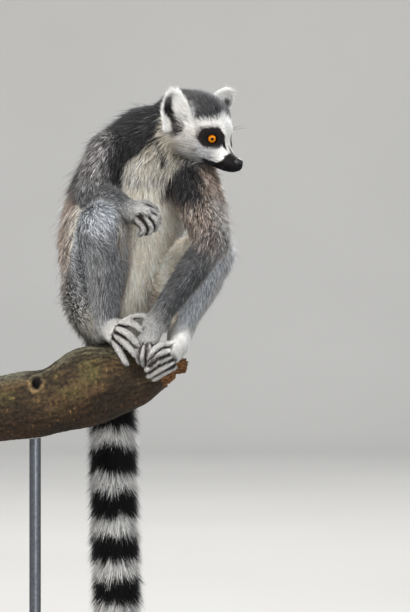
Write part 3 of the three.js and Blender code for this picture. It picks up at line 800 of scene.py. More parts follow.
def markings(points, normals, weight, along):
    """The coat's colour at each point, in sRGB."""
    speckle = noise(points, 7.0, 11) + 0.6 * noise(points, 3.0, 12)
    ragged = 3.0 * noise(points * (1, 1, 0.25), 9.0, 13)
    q = to_head(points)
    total = np.zeros((len(points), 3))
    for name in NAMES:
        here = weight[name] > 0.01
        if not here.any():
            continue
        p, n, s = points[here], normals[here], speckle[here]
        if name == "trunk":
            colour = trunk_colour(p, n, s)
        elif name == "neck":
            colour = neck_colour(p, n, s)
        elif name == "head":
            colour = face_colour(q[here], s)
        elif name in EARS:
            colour = ear_colour(q[here], EARS[name])
        elif name == "tail":
            colour = tail_colour(along[name][here], s, ragged[here])
        else:
            colour = limb_colour(name, p, n, along[name][here], s)
        total[here] += colour * weight[name][here][:, None]
    # Painted shade along the ruff's fold and in the cleft at the foot of the right ear.
    fold, slit = (near_line(points, line) for line in (FOLD_SHADE_LINE, SLIT_SHADE_LINE))
    total = paint(total, (CHARCOAL * 0.7, 0.85 * ramp(fold + 0.5 * speckle, 3.2, 0.8)),
                  (BLACK * 1.5, 0.9 * ramp(slit + 0.4 * speckle, 2.6, 1.2)))
    shade = 1 + 0.07 * noise(points, 24.0, 14) + 0.05 * speckle
    return np.clip(total * shade[:, None], 0.01, 1)


def linear(colour):
    """sRGB to the linear light that a material wants."""
    colour = np.clip(colour, 0, 1)
    return np.where(colour <= 0.04045, colour / 12.92, ((colour + 0.055) / 1.055) ** 2.4)


# ---- meshes
COLOUR_NAME = "coat"
UV_NAME = "OFBake"


def new_mesh(name, vertices, faces, colours=None, normals=None, uv=None, material=None):
    """A mesh object from arrays in millimetres; faces all have the same number of corners."""
    mesh = bpy.data.meshes.new(name)
    sides = faces.shape[1]
    mesh.vertices.add(len(vertices))
    mesh.vertices.foreach_set("co", (np.asarray(vertices) * MM).astype(np.float32).ravel())
    mesh.loops.add(faces.size)
    mesh.loops.foreach_set("vertex_index", faces.astype(np.int32).ravel())
    mesh.polygons.add(len(faces))
    mesh.polygons.foreach_set("loop_start", np.arange(len(faces), dtype=np.int32) * sides)
    mesh.update(calc_edges=True)
    mesh.shade_smooth()
    if colours is not None:
        set_colours(mesh, colours)
    if uv is not None:
        layer = mesh.uv_layers.new(name=UV_NAME)
        layer.uv.foreach_set("vector", uv.astype(np.float32).ravel())
    if normals is not None:
        mesh.normals_split_custom_set_from_vertices(unit(normals).astype(np.float32))
    thing = bpy.data.objects.new(name, mesh)
    bpy.context.collection.objects.link(thing)
    if material:
        mesh.materials.append(material)
    return thing


def set_colours(mesh, colours):
    layer = mesh.color_attributes.new(name=COLOUR_NAME, type="FLOAT_COLOR", domain="POINT")
    rgba = np.concatenate([linear(colours), np.ones((len(colours), 1))], 1)
    layer.data.foreach_set("color", rgba.astype(np.float32).ravel())


def read(items, field, width, kind=np.float32):
    """One field of all the items of a mesh, a row to each."""
    out = np.empty(len(items) * width, kind)
    items.foreach_get(field, out)
    return out.reshape(-1, width)


# Places on the head where the skin is cut finer, and how far round them.
FINE_SPOTS = [(eye_pose(sign)[0] + 6 * eye_pose(sign)[1], 12.0) for sign in SIGNS]
FINE_SPOTS.append((np.array([-14.0, 0.0, -5.0]), 19.0))


def refine(thing):
    """Cuts the quads round the eyes and the mouth into four and settles them on the true surface."""
    mesh = bmesh.new()
    mesh.from_mesh(thing.data)

    def near_spots(margin):
        places = np.array([v.co for v in mesh.verts]) / MM
        q = to_head(places)
        return places, np.any([np.linalg.norm(q - c, axis=1) < radius + margin for c, radius in FINE_SPOTS], axis=0)

    _, fine = near_spots(0)
    mesh.edges.ensure_lookup_table()
    edges = [e for e in mesh.edges if fine[e.verts[0].index] and fine[e.verts[1].index]]
    bmesh.ops.subdivide_edges(mesh, edges=edges, cuts=1, use_grid_fill=True)
    mesh.verts.ensure_lookup_table()
    places, near = near_spots(1)
    for index, place in zip(np.nonzero(near)[0], settle(places[near], 2, 0.5)):
        mesh.verts[index].co = place * MM
    mesh.to_mesh(thing.data)
    mesh.free()
    thing.data.shade_smooth()


def make_skin():
    vertices, quads = surface_net(sample_field())
    skin = new_mesh("lemur_skin", settle(vertices, 1), quads)
    refine(skin)
    return skin


def unwrap(thing):
    """Lays the skin flat by its own shape."""
    thing.data.uv_layers.new(name=UV_NAME)
    bpy.context.view_layer.objects.active = thing
    thing.select_set(True)
    bpy.ops.object.mode_set(mode="EDIT")
    bpy.ops.mesh.select_all(action="SELECT")
    bpy.ops.uv.smart_project(angle_limit=math.radians(75), island_margin=0.001)
    bpy.ops.object.mode_set(mode="OBJECT")
    thing.select_set(False)


class Ground:
    """What the coat grows from: the skin's triangles and the look of each of its vertices."""

    def __init__(self, skin):
        mesh = skin.data
        mesh.calc_loop_triangles()
        self.corners = read(mesh.loop_triangles, "vertices", 3, np.int32)
        self.uv = read(mesh.uv_layers[UV_NAME].uv, "vector", 2)[read(mesh.loop_triangles, "loops", 3, np.int32)]
        self.points = read(mesh.vertices, "co", 3).astype(float) / MM
        self.normals = read(mesh.vertex_normals, "vector", 3).astype(float)
        self.weight, lie, self.along = describe(self.points)
        self.lie = unit(lie - (lie * self.normals).sum(1, keepdims=True) * self.normals)
        self.colours = markings(self.points, self.normals, self.weight, self.along)
        shares = np.stack([self.weight[n] for n in NAMES], 1)
        self.main = shares.argmax(1)
        self.style = shares @ np.array([STYLE[slot_part(n)] for n in NAMES])
        self.style[:, 0] *= length_share(self.points, self.normals, self.weight)
        self.style[:, 1] *= mix(1, mix(0.5, 1.15, ramp(-to_head(self.points)[:, 0], 15, 48)), self.weight["head"])
        self.bare = bareness(self.points)
        a, b, c = (self.points[self.corners[:, i]] for i in range(3))
        self.area = np.linalg.norm(np.cross(b - a, c - a), axis=1) / 2


def length_share(points, normals, weight):
    """Where the hair is longer or shorter than its part's own length."""
    q = to_head(points)
    back, up = -q[:, 0], q[:, 2]
    face = mix(mix(0.13, 0.5, ramp(back, 12, 30)), 0.95, ramp(back, 34, 50))
    face *= mix(0.55, 1, ramp(np.hypot(back - EYE_SPOT[0], up - EYE_SPOT[1]), 8, 12.5))
    cheek = ramp(back, 42, 62) * ramp(up, 14, 0)
    share = mix(1, face * (1 + 0.55 * cheek), weight["head"])
    for name, sign in EARS.items():
        _, s, off, _ = ear_local(q, sign)
        inside = ramp(off, -0.2, 0.6) * ramp(s * -sign, -0.2, 0.3)
        longest = 2.3 if name == "ear_left" else 1.7
        share *= mix(1, mix(0.75, longest, inside), weight[name])
    share *= 1 - 0.12 * ramp(normals @ FRONT, 0.1, 0.6) * weight["trunk"]
    return share * (1 + 0.15 * np.abs(noise(points, 30, 21)))


def bareness(points):
    """1 where no hair grows: round the eyes' openings, on the lips and on the nose."""
    q = to_head(points)
    bare = ramp(np.linalg.norm(q - (-3, 0, 0), axis=1), 7.5, 6.0)
    for sign in SIGNS:
        centre, axis = eye_pose(sign)
        along = (q - centre) @ axis
        ring = np.linalg.norm(q - centre - along[:, None] * axis, axis=1)
        lip = ramp(MOUTH_LOFTS[sign].measure(q), 1.0, 0.3)
        bare = np.max([bare, ramp(ring, 7.4, 6.4) * (along > 0), lip], axis=0)
    return bare


# ---- the coat
UV_PATCH = 0.003  # how far across a tuft's place on the unwrap is
ROOT_DEPTH = 0.6  # how far below the skin a tuft starts
NAPE_FOOT = 700.0  # height at which the coat of the nape gives way to the coat of the back
# The share of long thin hairs that stand clear of the coat.
GUARD_SHARE = {"trunk": 0.1, "upper_arm": 0.1, "forearm": 0.05, "thigh": 0.06, "shin": 0.05, "neck": 0.04}


def slot_part(name):
    """The part's name without its side."""
    return name.removesuffix("_left").removesuffix("_right")


def scatter(ground, names, area, random):
    """Roots spread evenly over the triangles whose main part is one of names, or over one area of the trunk."""
    first = ground.corners[:, 0]
    wanted = np.isin(ground.main[first], [NAMES.index(n) for n in names])
    if area:
        wanted &= (ground.normals[first] @ FRONT > 0.1) == (area == "front")
        if area != "front":
            wanted &= (ground.points[first, 2] > NAPE_FOOT) == (area == "nape")
    triangles = np.nonzero(wanted)[0]
    density = ground.style[first[triangles], 3] * (1 - ground.bare[first[triangles]])
    count = np.floor(ground.area[triangles] * density + random.random(len(triangles))).astype(int)
    chosen = np.repeat(triangles, count)
    r1, r2 = random.random(len(chosen)), random.random(len(chosen))
    root = np.sqrt(r1)
    return chosen, np.stack([1 - root, root * (1 - r2), root * r2], 1)


class Roots:
    """The look of each tuft's root, blended from the skin's vertices."""

    def __init__(self, ground, names, area, random):
        chosen, share = scatter(ground, names, area, random)
        corner = ground.corners[chosen]

        def blend(values):
            return np.einsum("ij,ij...->i...", share, values[corner])

        self.point = blend(ground.points)
        self.normal = unit(blend(ground.normals))
        self.lie = unit(blend(ground.lie))
        self.colour = blend(ground.colours)
        self.style = blend(ground.style)
        self.uv = np.einsum("ij,ijk->ik", share, ground.uv[chosen])


def grow(name, ground, names, material, bent, area):
    """One coat piece: a closed three-sided spike for each root, bent once on the way if `bent`."""
    random = np.random.default_rng(SEED + len(name) + sum(map(ord, name)))
    roots = Roots(ground, names, area, random)
    n, normal = len(roots.point), roots.normal
    length, lift, width, _ = roots.style.T
    length = length * random.uniform(0.72, 1.12, n)
    lift = np.radians(lift) * random.uniform(0.45, 1.5, n)
    width = width * random.uniform(0.75, 1.25, n)
    guard = random.random(n) < GUARD_SHARE.get(slot_part(names[0]), 0)
    length = np.where(guard, length * random.uniform(1.2, 1.7, n), length)[:, None]
    lift = np.where(guard, lift * 1.3, lift)
    half = np.where(guard, width * 0.42, width)[:, None] / 2

    # The way it lies wanders gently, so that neighbours gather in locks.
    lock = 0.22 * noise(roots.point, 9.0, 31) + 0.2 * noise(roots.point, 4.5, 32) + random.normal(0, 0.18, n)
    lie = unit(roots.lie + np.cross(normal, roots.lie) * lock[:, None] + 0.12 * GRAVITY)
    lie = unit(lie - (lie * normal).sum(1, keepdims=True) * normal)

    def lifted(angle):
        return lie * np.cos(angle)[:, None] + normal * np.sin(angle)[:, None]

    sideways = np.cross(normal, lie)
    base = roots.point - ROOT_DEPTH * normal
    middle = base + unit(lifted(lift)) * length * 0.5
    tip = middle + unit(lifted(0.6 * lift) + 0.1 * GRAVITY) * length * 0.5
    around = [sideways, -0.5 * sideways + 0.6 * normal, -0.5 * sideways - 0.6 * normal]
    rings = [base + a * half for a in around]
    spread = [*around, normal]
    rise = [0, 0, 0, 1]
    pattern = [(0, 2, 1), (0, 1, 3), (1, 2, 3), (2, 0, 3)]
    if bent:
        rings += [middle + a * half * 0.8 for a in around]
        spread = [*around, *spread]
        rise = [0, 0, 0, 0.5, 0.5, 0.5, 1]
        pattern = [(0, 2, 1)]
        for i, j in ((0, 1), (1, 2), (2, 0)):
            pattern += [(i, j, j + 3), (i, j + 3, i + 3), (i + 3, j + 3, 6)]
    vertices, rise = np.stack([*rings, tip], 1), np.array(rise)
    faces = (np.arange(n)[:, None, None] * len(rise) + np.array(pattern)).reshape(-1, 3)

    pale = roots.colour.mean(1)
    banded = ramp(pale, 0.2, 0.38) * ramp(pale, 0.78, 0.6)  # grey hair is dark below with a pale tip
    tone = np.exp(random.normal(0, 1, n) * mix(0.34, 0.1, ramp(pale, 0.6, 0.85)))
    # Each tuft is painted darker at its root: partly painted shade deep in the coat, and in banded grey hair partly
    # its own dark base.
    root_tone, tip_tone = mix(mix(0.5, 0.93, ramp(pale, 0.1, 0.8)), 0.45, banded), mix(1.08, 1.4, banded)
    shade = mix(root_tone[:, None], tip_tone[:, None], rise**0.8) * tone[:, None]
    colour = blend_of(roots.colour, PALE, 0.6 * guard * ramp(pale, 0.25, 0.45))
    colours = np.clip(colour[:, None] * shade[..., None], 0.01, 1)
    offsets = np.stack([(np.arange(len(rise)) % 3 - 1) * 0.4, rise - 0.5], 1) * UV_PATCH
    uv = (roots.uv[:, None] + offsets).reshape(-1, 2)[faces.ravel()]
    normals = unit(0.75 * normal[:, None] + 0.35 * unit(np.stack(spread, 1)) + 0.1 * lie[:, None])
    vertices, colours, normals = (values.reshape(-1, 3) for values in (vertices, colours, normals))
    print(name, n, "tufts", len(faces), "triangles")
    return new_mesh(name, vertices, faces, colours, normals, uv, material)


# ---- materials
def fill(node, values):
    """Sets a node's inputs and properties; an output given for an input is linked to it."""
    for key, value in values.items():
        if isinstance(value, bpy.types.NodeSocket):
            node.id_data.links.new(value, node.inputs[key])
        elif isinstance(key, int) or key in node.inputs:
            node.inputs[key].default_value = value
        else:
            setattr(node, key, value)


def new_material(name, **inputs):
    material = bpy.data.materials.new(name)
    material.use_nodes = True
    shader = material.node_tree.nodes["Principled BSDF"]
    fill(shader, {key.replace("_", " "): value for key, value in inputs.items()})
    return material, material.node_tree, shader


def add(tree, kind, values):
    """A new node, and its first output."""
    node = tree.nodes.new("ShaderNode" + kind)
    fill(node, values)
    return node, node.outputs[0]


def noise_bump(tree, shader, scale, strength, distance):
    """Bumps the shader with noise, and gives that noise."""
    place, _ = add(tree, "TexCoord", {})
    _, noise_out = add(tree, "TexNoise", {"Scale": scale, "Detail": 6.0, "Vector": place.outputs["Object"]})
    _, bump = add(tree, "Bump", {"Strength": strength, "Distance": distance, "Height": noise_out})
    fill(shader, {"Normal": bump})
    return noise_out


def marked_material(name, scale, strength, distance, low, high, **inputs):
    """Takes its colour from the markings, times a fine mottle from low to high."""
    material, tree, shader = new_material(name, **inputs)
    _, colour = add(tree, "VertexColor", {"layer_name": COLOUR_NAME})
    texture = noise_bump(tree, shader, scale, strength, distance)
    span = {"From Min": 0.3, "From Max": 0.7, "To Min": low, "To Max": high, "Value": texture}
    _, mottle = add(tree, "MapRange", span)
    _, tint = add(tree, "VectorMath", {"operation": "SCALE", 0: colour, "Scale": mottle})
    fill(shader, {"Base Color": tint})
    return material


def eye_material():
    """A wet orange iris with a dark rim, fine streaks and a small pupil, in a black eyeball."""
    material, tree, shader = new_material(
        "eye", Roughness=0.25, Coat_Weight=0.1, Specular_IOR_Level=0.1, Coat_Roughness=0.03
    )
    gaze, _ = add(tree, "Attribute", {"attribute_name": "gaze"})
    place, _ = add(tree, "TexCoord", {})
    _, streaks = add(tree, "TexNoise", {"Scale": 900.0, "Detail": 3.0, "Vector": place.outputs["Object"]})
    _, mottle = add(tree, "Math", {"operation": "MULTIPLY_ADD", 0: streaks, 1: 0.22, 2: gaze.outputs["Fac"]})
    _, offset = add(tree, "Math", {"operation": "SUBTRACT", 0: mottle, 1: 0.11})
    rings, iris = add(tree, "ValToRGB", {"Fac": offset})
    while len(rings.color_ramp.elements) < len(IRIS_STOPS):
        rings.color_ramp.elements.new(0.5)
    for element, (at, colour) in zip(rings.color_ramp.elements, IRIS_STOPS):
        element.position = at
        element.color = (*colour, 1)
    fill(shader, {"Base Color": iris})
    return material


def solid_colour_material(name, colour, roughness, scale, strength, contrast=0.5, coat=0.0, metallic=0.0):
    """A plain material with a noise mottle between a darker and a lighter shade of one colour."""
    material, tree, shader = new_material(
        name, Roughness=roughness, Coat_Weight=coat, Coat_Roughness=0.3, Metallic=metallic
    )
    shades, shade = add(tree, "ValToRGB", {"Fac": noise_bump(tree, shader, scale, strength, 0.0006)})
    for element, at, change in zip(shades.color_ramp.elements, (0.3, 0.7), (-contrast, 0.3 * contrast)):
        element.position = at
        element.color = (*linear(np.array(colour) * (1 + change)), 1)
    fill(shader, {"Base Color": shade})
    return material


# ---- eyes, nose, claws and whiskers
IRIS_STOPS = [  # from the middle of the pupil to the rim, in linear colour
    (0.0, (0.004, 0.003, 0.003)), (0.29, (0.004, 0.003, 0.003)), (0.36, (0.4, 0.11, 0.004)),
    (0.55, (0.9, 0.31, 0.008)), (0.8, (0.74, 0.19, 0.005)), (0.94, (0.15, 0.03, 0.004)), (1.0, (0.01, 0.008, 0.007)),
]
IRIS_HALF_ANGLE = 34.0  # degrees of the eyeball that the iris takes to each side of its middle


def ring_mesh(rings):
    """Triangles of a closed body from rings of points with a point at each end."""
    sides = len(rings[1])
    vertices = np.concatenate(rings)
    j = np.arange(sides)
    k = (j + 1) % sides
    start = 1 + np.arange(len(rings) - 3)[:, None] * sides
    a, b = start + j, start + k
    c, d = b + sides, a + sides
    last = len(vertices) - 1
    corners = [(a, b, c), (a, c, d), (0 * j, 1 + k, 1 + j), (last - sides + j, last - sides + k, 0 * j + last)]
    return vertices, np.concatenate([np.stack(t, -1).reshape(-1, 3) for t in corners])


def circle(sides, wide, high):
    """Points round the origin, from two vectors that give its half width and half height."""
    turn = np.linspace(0, 2 * math.pi, sides, endpoint=False)[:, None]
    return np.cos(turn) * wide + np.sin(turn) * high


def bundle(name, bodies, material):
    """One mesh of many bodies, each the rings of a tube that is closed at the middle of its ends."""
    vertices, faces, start = [], [], 0
    for rings in bodies:
        ends = [rings[i].mean(0, keepdims=True) for i in (0, -1)]
        v, f = ring_mesh([ends[0], *rings, ends[1]])
        vertices.append(v)
        faces.append(f + start)
        start += len(v)
    return new_mesh(name, np.concatenate(vertices), np.concatenate(faces), material=material)


def make_eye(side, material):
    """An eyeball whose rings lie round the way it looks, its cornea a little proud."""
    centre, axis = eye_pose(SIDES[side])
    wide = unit(np.cross(axis, (0, 0, 1.0)))
    around = circle(48, wide, np.cross(wide, axis))
    rings = []
    for a in np.linspace(0, 180, 41):
        radius = EYE["radius"] * (1 + 0.075 * ramp(a, IRIS_HALF_ANGLE + 3, 12))
        a = math.radians(a)
        rings.append(centre + radius * (math.cos(a) * axis + math.sin(a) * around))
    vertices, faces = ring_mesh([rings[0][:1], *rings[1:-1], rings[-1][:1]])
    eye = new_mesh(f"eyeball_{side}", from_head(vertices), faces, material=material)
    off_axis = np.degrees(np.arccos(np.clip(unit(vertices - centre) @ axis, -1, 1))) / IRIS_HALF_ANGLE
    gaze = eye.data.attributes.new("gaze", "FLOAT", "POINT")
    gaze.data.foreach_set("value", off_axis.astype(np.float32))
    return eye


def nose_distance(q):
    """The wet pad: a rounded wedge with comma nostrils and a groove down its middle."""
    d = blob(q, (-4.6, 0, -0.6), (0.9, 1.18, 0.95), 5.2)
    d = join(d, blob(q, (-3.2, 0, -3.6), (0.8, 0.6, 1.2), 2.4), 2.5)
    for sign in SIGNS:
        d = carve(d, blob(q, (0.2, sign * 3.5, -0.6), (1.5, 0.75, 0.8), 1.25), 0.6)
        d = carve(d, blob(q, (-2.2, sign * 5.9, -1.8), (2.0, 0.9, 0.45), 1.1), 0.6)
    return carve(d, np.maximum(np.abs(q[:, 1]) - 0.22, -q[:, 0] - 3.0), 0.7)


def make_nose(material):
    axes = [np.arange(low, high + 0.3, 0.3) for low, high in ((-11.5, 2.5), (-8.5, 8.5), (-8.5, 7))]
    points = np.stack(np.meshgrid(*axes, indexing="ij"), -1)
    field = nose_distance(points.reshape(-1, 3)).reshape(points.shape[:3]).astype(np.float32)
    vertices, quads = surface_net(field, axes)
    return new_mesh("nose_pad", from_head(vertices), quads, material=material)


def make_nails(material):
    """A short curved nail on the tip of every finger and toe."""
    nails = []
    for name in HAND_BACK:
        for loft in PARTS[name][1:]:
            *tip, radius, _ = loft.rows[-1]
            way = unit(tip - loft.rows[-3, :3])
            back = unit(np.cross(np.cross(way, FRONT + (0, 0, 0.6)), way))
            across = np.cross(way, back)
            nails.append([
                tip + way * radius * (-0.2 + 1.5 * t) + back * radius * (0.78 - 0.5 * t * t)
                + circle(8, across * radius * 0.62 * math.sqrt(max(1 - t**2.5, 0.02)), back * radius * 0.16)
                for t in np.linspace(0, 1, 6)
            ])
    return bundle("nails", nails, material)


# Where each whisker starts, its way and its length, in the head's own frame (for its left side).
WHISKERS = [
    ((-14, 8.5, -2), (0.1, 1, -0.1), 26), ((-16, 9.5, -4), (-0.1, 1, -0.25), 30),
    ((-18, 10, -1.5), (-0.3, 1, -0.05), 32), ((-20, 10.5, -4.5), (-0.4, 1, -0.4), 28),
    ((-12, 8, -5), (0.25, 1, -0.5), 20), ((-30, 9, 26), (0.75, 0.45, 0.55), 20),
    ((-32, 11, 27), (0.55, 0.7, 0.6), 17), ((-44, 23, -3), (-0.3, 1, -0.4), 18),
]


def make_whiskers(material):
    whiskers = []
    for root, way, length in WHISKERS:
        for sign in SIGNS:
            direction = unit(np.array(way, float) * (1, sign, 1))
            across = unit(np.cross(direction, (0, 0, 1.0)))
            around = 0.17 * circle(5, across, np.cross(across, direction))
            start, sag = np.array(root, float) * (1, sign, 1), np.array([-0.12, 0, -0.18])
            whiskers.append([
                from_head(start + length * t * (direction + sag * t) + (1 - 0.85 * t) * around)
                for t in np.linspace(0, 1, 7)
            ])
    return bundle("whiskers", whiskers, material)


# ---- the branch
BRANCH_Y = -12
BRANCH = [  # x, height of the middle, half depth, half height
    (-160, 499, 34, 34), (-133, 502, 35, 36), (-108, 506, 36, 36.5), (-86, 509, 37, 37.5),
    (-62, 519, 41, 43), (-40, 525, 42, 44), (-15, 528, 40, 39), (5, 531, 37, 33), (24, 535, 34, 26),
    (40, 541, 28, 18), (50, 547, 20, 12),
]
BARK_SLACK = 1.6  # how far the bark's ridges stay inside the solid
KNOT = np.array([-93.0, 530.0])  # x and height of the knot hole on the branch's front
BREAK_X = 37.0  # where the bark ends and the broken wood begins
CUT_WOOD, BROKEN_TIP = (0.6, 0.47, 0.31), (0.6, 0.46, 0.3)


def branch_points(along, turn):
    """The branch's surface, smooth, at places along it and turned round it from straight up."""
    rows = catmull_rom(np.array(BRANCH, float), 6)
    x = mix(BRANCH[0][0], BRANCH[-1][0] + 11, along)
    height, deep, high = (np.interp(x, rows[:, 0], rows[:, i]) for i in (1, 2, 3))
    beyond = np.clip((x - rows[-1, 0]) / 12, 0, 1)
    taper = np.sqrt(1 - 0.92 * beyond**2)
    deep, high = (deep - BARK_SLACK) * taper, (high - BARK_SLACK) * taper
    y = BRANCH_Y - deep * np.sin(turn)
    z = height + high * np.cos(turn)
    outward = unit(np.stack([0 * x, -np.sin(turn) / deep, np.cos(turn) / high], -1))
    return np.stack([x, y, z], -1), outward


def knot_distance(points):
    """How far a point is from the knot hole's middle, the hole being a little ragged."""
    off = np.hypot(points[:, 0] - KNOT[0], (points[:, 2] - KNOT[1]) / 1.3)
    return off + 0.8 * noise(points, 6.0, 48)


def bark_relief(points, outward):
    """Height of the bark: long shallow furrows, flakes, the knot hole and the splintered end."""
    stretched = points * (0.25, 1, 1)
    ridge = np.abs(noise(stretched, 9, 41)) + 0.5 * np.abs(noise(stretched, 4.5, 42))
    fine = noise(points * (0.5, 1, 1), 2.6, 43)
    relief = 0.9 * (ridge - 0.7) + 0.22 * fine + 1.0 * noise(points, 42, 44) - 0.6
    front = ramp(outward[:, 1], -0.3, -0.8)
    off = knot_distance(points)
    relief += front * (2.2 * np.exp(-(((off - 6.5) / 2.2) ** 2)) - 7.5 * ramp(off, 5.2, 1.5))
    scar = np.hypot((points[:, 0] + 20) / 2.2, points[:, 2] - 512)
    relief -= front * 1.2 * ramp(scar, 9, 5)
    broken = ramp(points[:, 0] + 4 * noise(points, 8, 45), BREAK_X - 2, BREAK_X + 3)
    splinter = 2.4 * noise(points * (0.12, 1, 1), 3.4, 46) - 2.2
    return mix(relief, splinter, broken), broken


def make_branch(material):
    around, lengthwise = 200, 300
    turn = np.linspace(0, 2 * math.pi, around, endpoint=False)
    along = np.linspace(0, 1, lengthwise)
    along_grid, turn_grid = (g.ravel() for g in np.meshgrid(along, turn, indexing="ij"))
    points, outward = branch_points(along_grid, turn_grid)
    relief, broken = bark_relief(points, outward)
    shaped = points + outward * np.minimum(relief, BARK_SLACK - 0.1)[:, None]
    shaped[:, 0] += broken * np.clip(2.5 * noise(points * (0, 1, 1), 4.0, 47), -3, 2.5)
    first = shaped[:around].mean(0, keepdims=True)
    last = shaped[-around:].mean(0, keepdims=True) - (4, 0, 0)
    vertices, faces = ring_mesh([first, *shaped.reshape(lengthwise, around, 3), last])
    colours = np.concatenate([[CUT_WOOD], bark_colours(points, outward, relief, broken), [BROKEN_TIP]])
    return new_mesh("branch_bark", vertices, faces, colours, material=material)


def bark_colours(points, outward, relief, broken):
    """Brown and olive bark with ochre flecks, painted greyer on top as light and darker and redder below as shade,
    the knot hole painted dark inside as shade; pale wood where it is broken.
    """
    patch = noise(points * (0.5, 1, 1), 26, 51)
    fleck = noise(points * (0.9, 1, 0.7), 4.0, 52) + 0.7 * noise(points, 2.0, 53)
    off = knot_distance(points)
    front = ramp(outward[:, 1], -0.2, -0.6)
    knot_rim = front * np.exp(-(((off - 7.5) / 2.0) ** 2)) * ramp(points[:, 2] - KNOT[1], 4, -4)
    wood = np.array([0.4, 0.27, 0.155]) * (1 + 0.4 * noise(points * (0.15, 1, 1), 3.0, 54))[:, None]
    return np.clip(paint(
        (0.3, 0.235, 0.15), ((0.315, 0.295, 0.17), 0.8 * ramp(patch, -0.1, 0.8)),
        # Greyer on top as painted light, darker and redder below as painted shade.
        ((0.37, 0.37, 0.31), 0.8 * ramp(outward[:, 2], 0.55, 0.95)),
        ((0.19, 0.13, 0.085), 0.85 * ramp(outward[:, 2], 0.2, -0.6)),
        ((0.6, 0.46, 0.27), 0.65 * ramp(fleck, 0.7, 1.4)), ((0.15, 0.115, 0.075), 0.85 * ramp(relief, -0.2, -1.4)),
        # The knot hole's inside is painted near black as shade.
        ((0.66, 0.56, 0.4), 0.45 * knot_rim), ((0.05, 0.04, 0.03), front * ramp(off, 5.5, 3)), (wood, broken),
    ), 0.01, 1)


# ---- building it
def put(thing, slot, *nodes):
    """Stands a piece in for the CAD nodes that it replaces and says what it rides on; slot is not used."""
    if nodes:
        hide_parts(*nodes)
    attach(thing, "root")


PAIRED = ("ear", "upper_arm", "forearm", "hand", "thigh", "shin", "foot")
FLESH = ["trunk", "neck", "head", *[f"{part}_{side}" for part in PAIRED for side in SIDES]]
FLESH += [f"tail_{i}" for i in range(1, 7)]
skin = make_skin()
unwrap(skin)
ground = Ground(skin)
# The skin under the coat is painted darker than the markings, as shade beneath the fur.
skin_colours = ground.colours * mix(0.62, 0.92, ramp(ground.colours.mean(1), 0.3, 0.8))[:, None]
set_colours(skin.data, np.clip(skin_colours, 0.01, 1))
FUR = {"Roughness": 0.7, "Specular_IOR_Level": 0.12, "Sheen_Roughness": 0.5}
skin.data.materials.append(marked_material("hide", 700.0, 0.5, 0.001, 0.82, 1.12, **FUR))
put(skin, "coat", *FLESH)

hair = marked_material("hair", 1200.0, 0.15, 0.001, 0.82, 1.12, Sheen_Weight=0.06, **FUR)
COATS = [  # piece, its part, whether it is one of a pair, bent hair or straight, record slot
    ("trunk_nape", "trunk", False, True, "coat"), ("trunk_back", "trunk", False, True, "coat"),
    ("trunk_front", "trunk", False, True, "coat"), ("neck", "neck", False, True, "coat"),
    ("upper_arms", "upper_arm", True, True, "coat"), ("forearms", "forearm", True, False, "coat"),
    ("thighs", "thigh", True, True, "coat"), ("shins", "shin", True, False, "coat"),
    ("hands", "hand", True, False, "hand_coat"), ("feet", "foot", True, False, "hand_coat"),
    ("head", "head", False, False, "coat"), ("ears", "ear", True, False, "ear_coat"),
    ("tail", "tail", False, False, "tail_coat"),
]
for piece, part, paired, bent, slot in COATS:
    parts = [f"{part}_{side}" for side in SIDES] if paired else [part]
    area = piece.removeprefix("trunk_") if part == "trunk" else None
    put(grow(f"coat_{piece}", ground, parts, hair, bent, area), slot)

eye_glass = eye_material()
for side in SIDES:
    put(make_eye(side, eye_glass), "eye", f"eye_{side}")
black_skin = solid_colour_material("nose_skin", (0.085, 0.08, 0.088), 0.5, 1500.0, 0.35, 0.3, coat=0.05)
put(make_nose(black_skin), "nose_skin", "nose")
put(make_nails(solid_colour_material("nail", (0.13, 0.11, 0.1), 0.4, 600.0, 0.1, 0.3)), "nose_skin")
put(make_whiskers(solid_colour_material("whisker", (0.08, 0.075, 0.075), 0.45, 400.0, 0.05, 0.2)), "nose_skin")
bark = marked_material("bark", 260.0, 1.0, 0.0025, 0.4, 1.4, Roughness=0.85, Specular_IOR_Level=0.25)
put(make_branch(bark), "bark", "perch_branch")

base_wood = solid_colour_material("base_wood", (0.3, 0.19, 0.12), 0.42, 18.0, 0.08, 0.35, coat=0.2)
rod_steel = solid_colour_material("rod_steel", (0.42, 0.43, 0.45), 0.35, 300.0, 0.03, 0.15, metallic=1.0)
for node, material in (("stand_base", base_wood), ("stand_rod", rod_steel), ("stand_collar", rod_steel)):
    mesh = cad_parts[node].data
    mesh.materials.clear()
    mesh.materials.append(material)

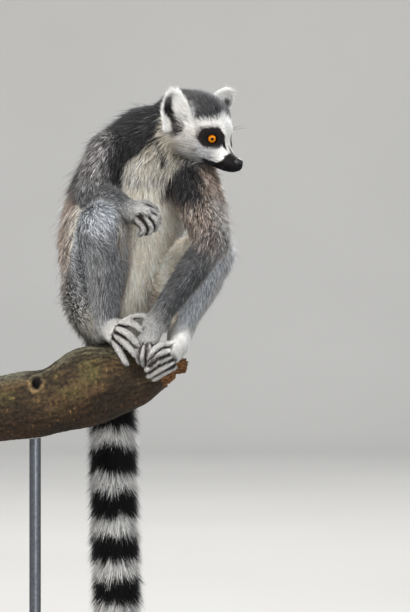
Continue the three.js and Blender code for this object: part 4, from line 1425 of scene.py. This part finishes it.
# ---- floor, light and camera
STUDIO_WIDTH = 30.0
STUDIO_FRONT = -12.0
WALL_TOP = 6.0
STUDIO_BEND = 9.0  # where the floor starts to sweep up into the wall
SWEEP = 2.5  # the radius of that bend
profile = [(STUDIO_FRONT, 0.0), (STUDIO_BEND, 0.0)]
profile += [(STUDIO_BEND + SWEEP * math.sin(a), SWEEP * (1 - math.cos(a))) for a in np.radians(range(6, 91, 6))]
profile.append((STUDIO_BEND + SWEEP, WALL_TOP))
corners = [(x, y, z) for y, z in profile for x in (-STUDIO_WIDTH / 2, STUDIO_WIDTH / 2)]
strips = [(2 * i, 2 * i + 1, 2 * i + 3, 2 * i + 2) for i in range(len(profile) - 1)]
studio = new_mesh("studio_floor", np.array(corners) / MM, np.array(strips))
studio.data.materials.append(solid_colour_material("studio_paper", (0.7, 0.69, 0.675), 0.9, 0.8, 0.0, 0.02))


def area_light(name, place, target, size, watts, colour=(1, 1, 1)):
    light = bpy.data.lights.new(name, "AREA")
    light.shape = "DISK"
    light.size = size
    light.energy = watts
    light.color = colour
    lamp = bpy.data.objects.new(name, light)
    lamp.location = place
    lamp.rotation_euler = (Vector(target) - Vector(place)).to_track_quat("-Z", "Y").to_euler()
    bpy.context.collection.objects.link(lamp)


MIDDLE = (0.02, 0.0, 0.66)
area_light("key", (-1.5, -1.9, 2.5), MIDDLE, 1.3, 95, (1.0, 0.98, 0.95))
area_light("fill", (1.1, -2.7, 1.0), MIDDLE, 1.8, 42, (0.95, 0.97, 1.0))
area_light("rim", (0.9, 1.7, 2.0), MIDDLE, 1.0, 75)
area_light("backdrop", (0, 3.5, 4.5), (0, 10.5, 1.0), 6.0, 380)
world = bpy.data.worlds.new("studio")
world.use_nodes = True
world.node_tree.nodes["Background"].inputs["Color"].default_value = (0.9, 0.95, 1.0, 1)
world.node_tree.nodes["Background"].inputs["Strength"].default_value = 0.75
bpy.context.scene.world = world
bpy.context.scene.view_settings.view_transform = "Standard"

CAMERA_AWAY = 3.0
CAMERA_SIDE, CAMERA_HEIGHT = 0.080, 0.6085
PICTURE_HEIGHT = 0.6365  # of the upright plane through the branch that the picture shows
lens = bpy.data.cameras.new("camera")
lens.sensor_width = 36.0
lens.lens = lens.sensor_width * CAMERA_AWAY / PICTURE_HEIGHT
lens.clip_end = 50
camera = bpy.data.objects.new("camera", lens)
camera.location = (CAMERA_SIDE, -CAMERA_AWAY, CAMERA_HEIGHT)
camera.rotation_euler = (math.radians(90), 0, 0)
bpy.context.collection.objects.link(camera)
bpy.context.scene.camera = camera

bpy.context.view_layer.update()
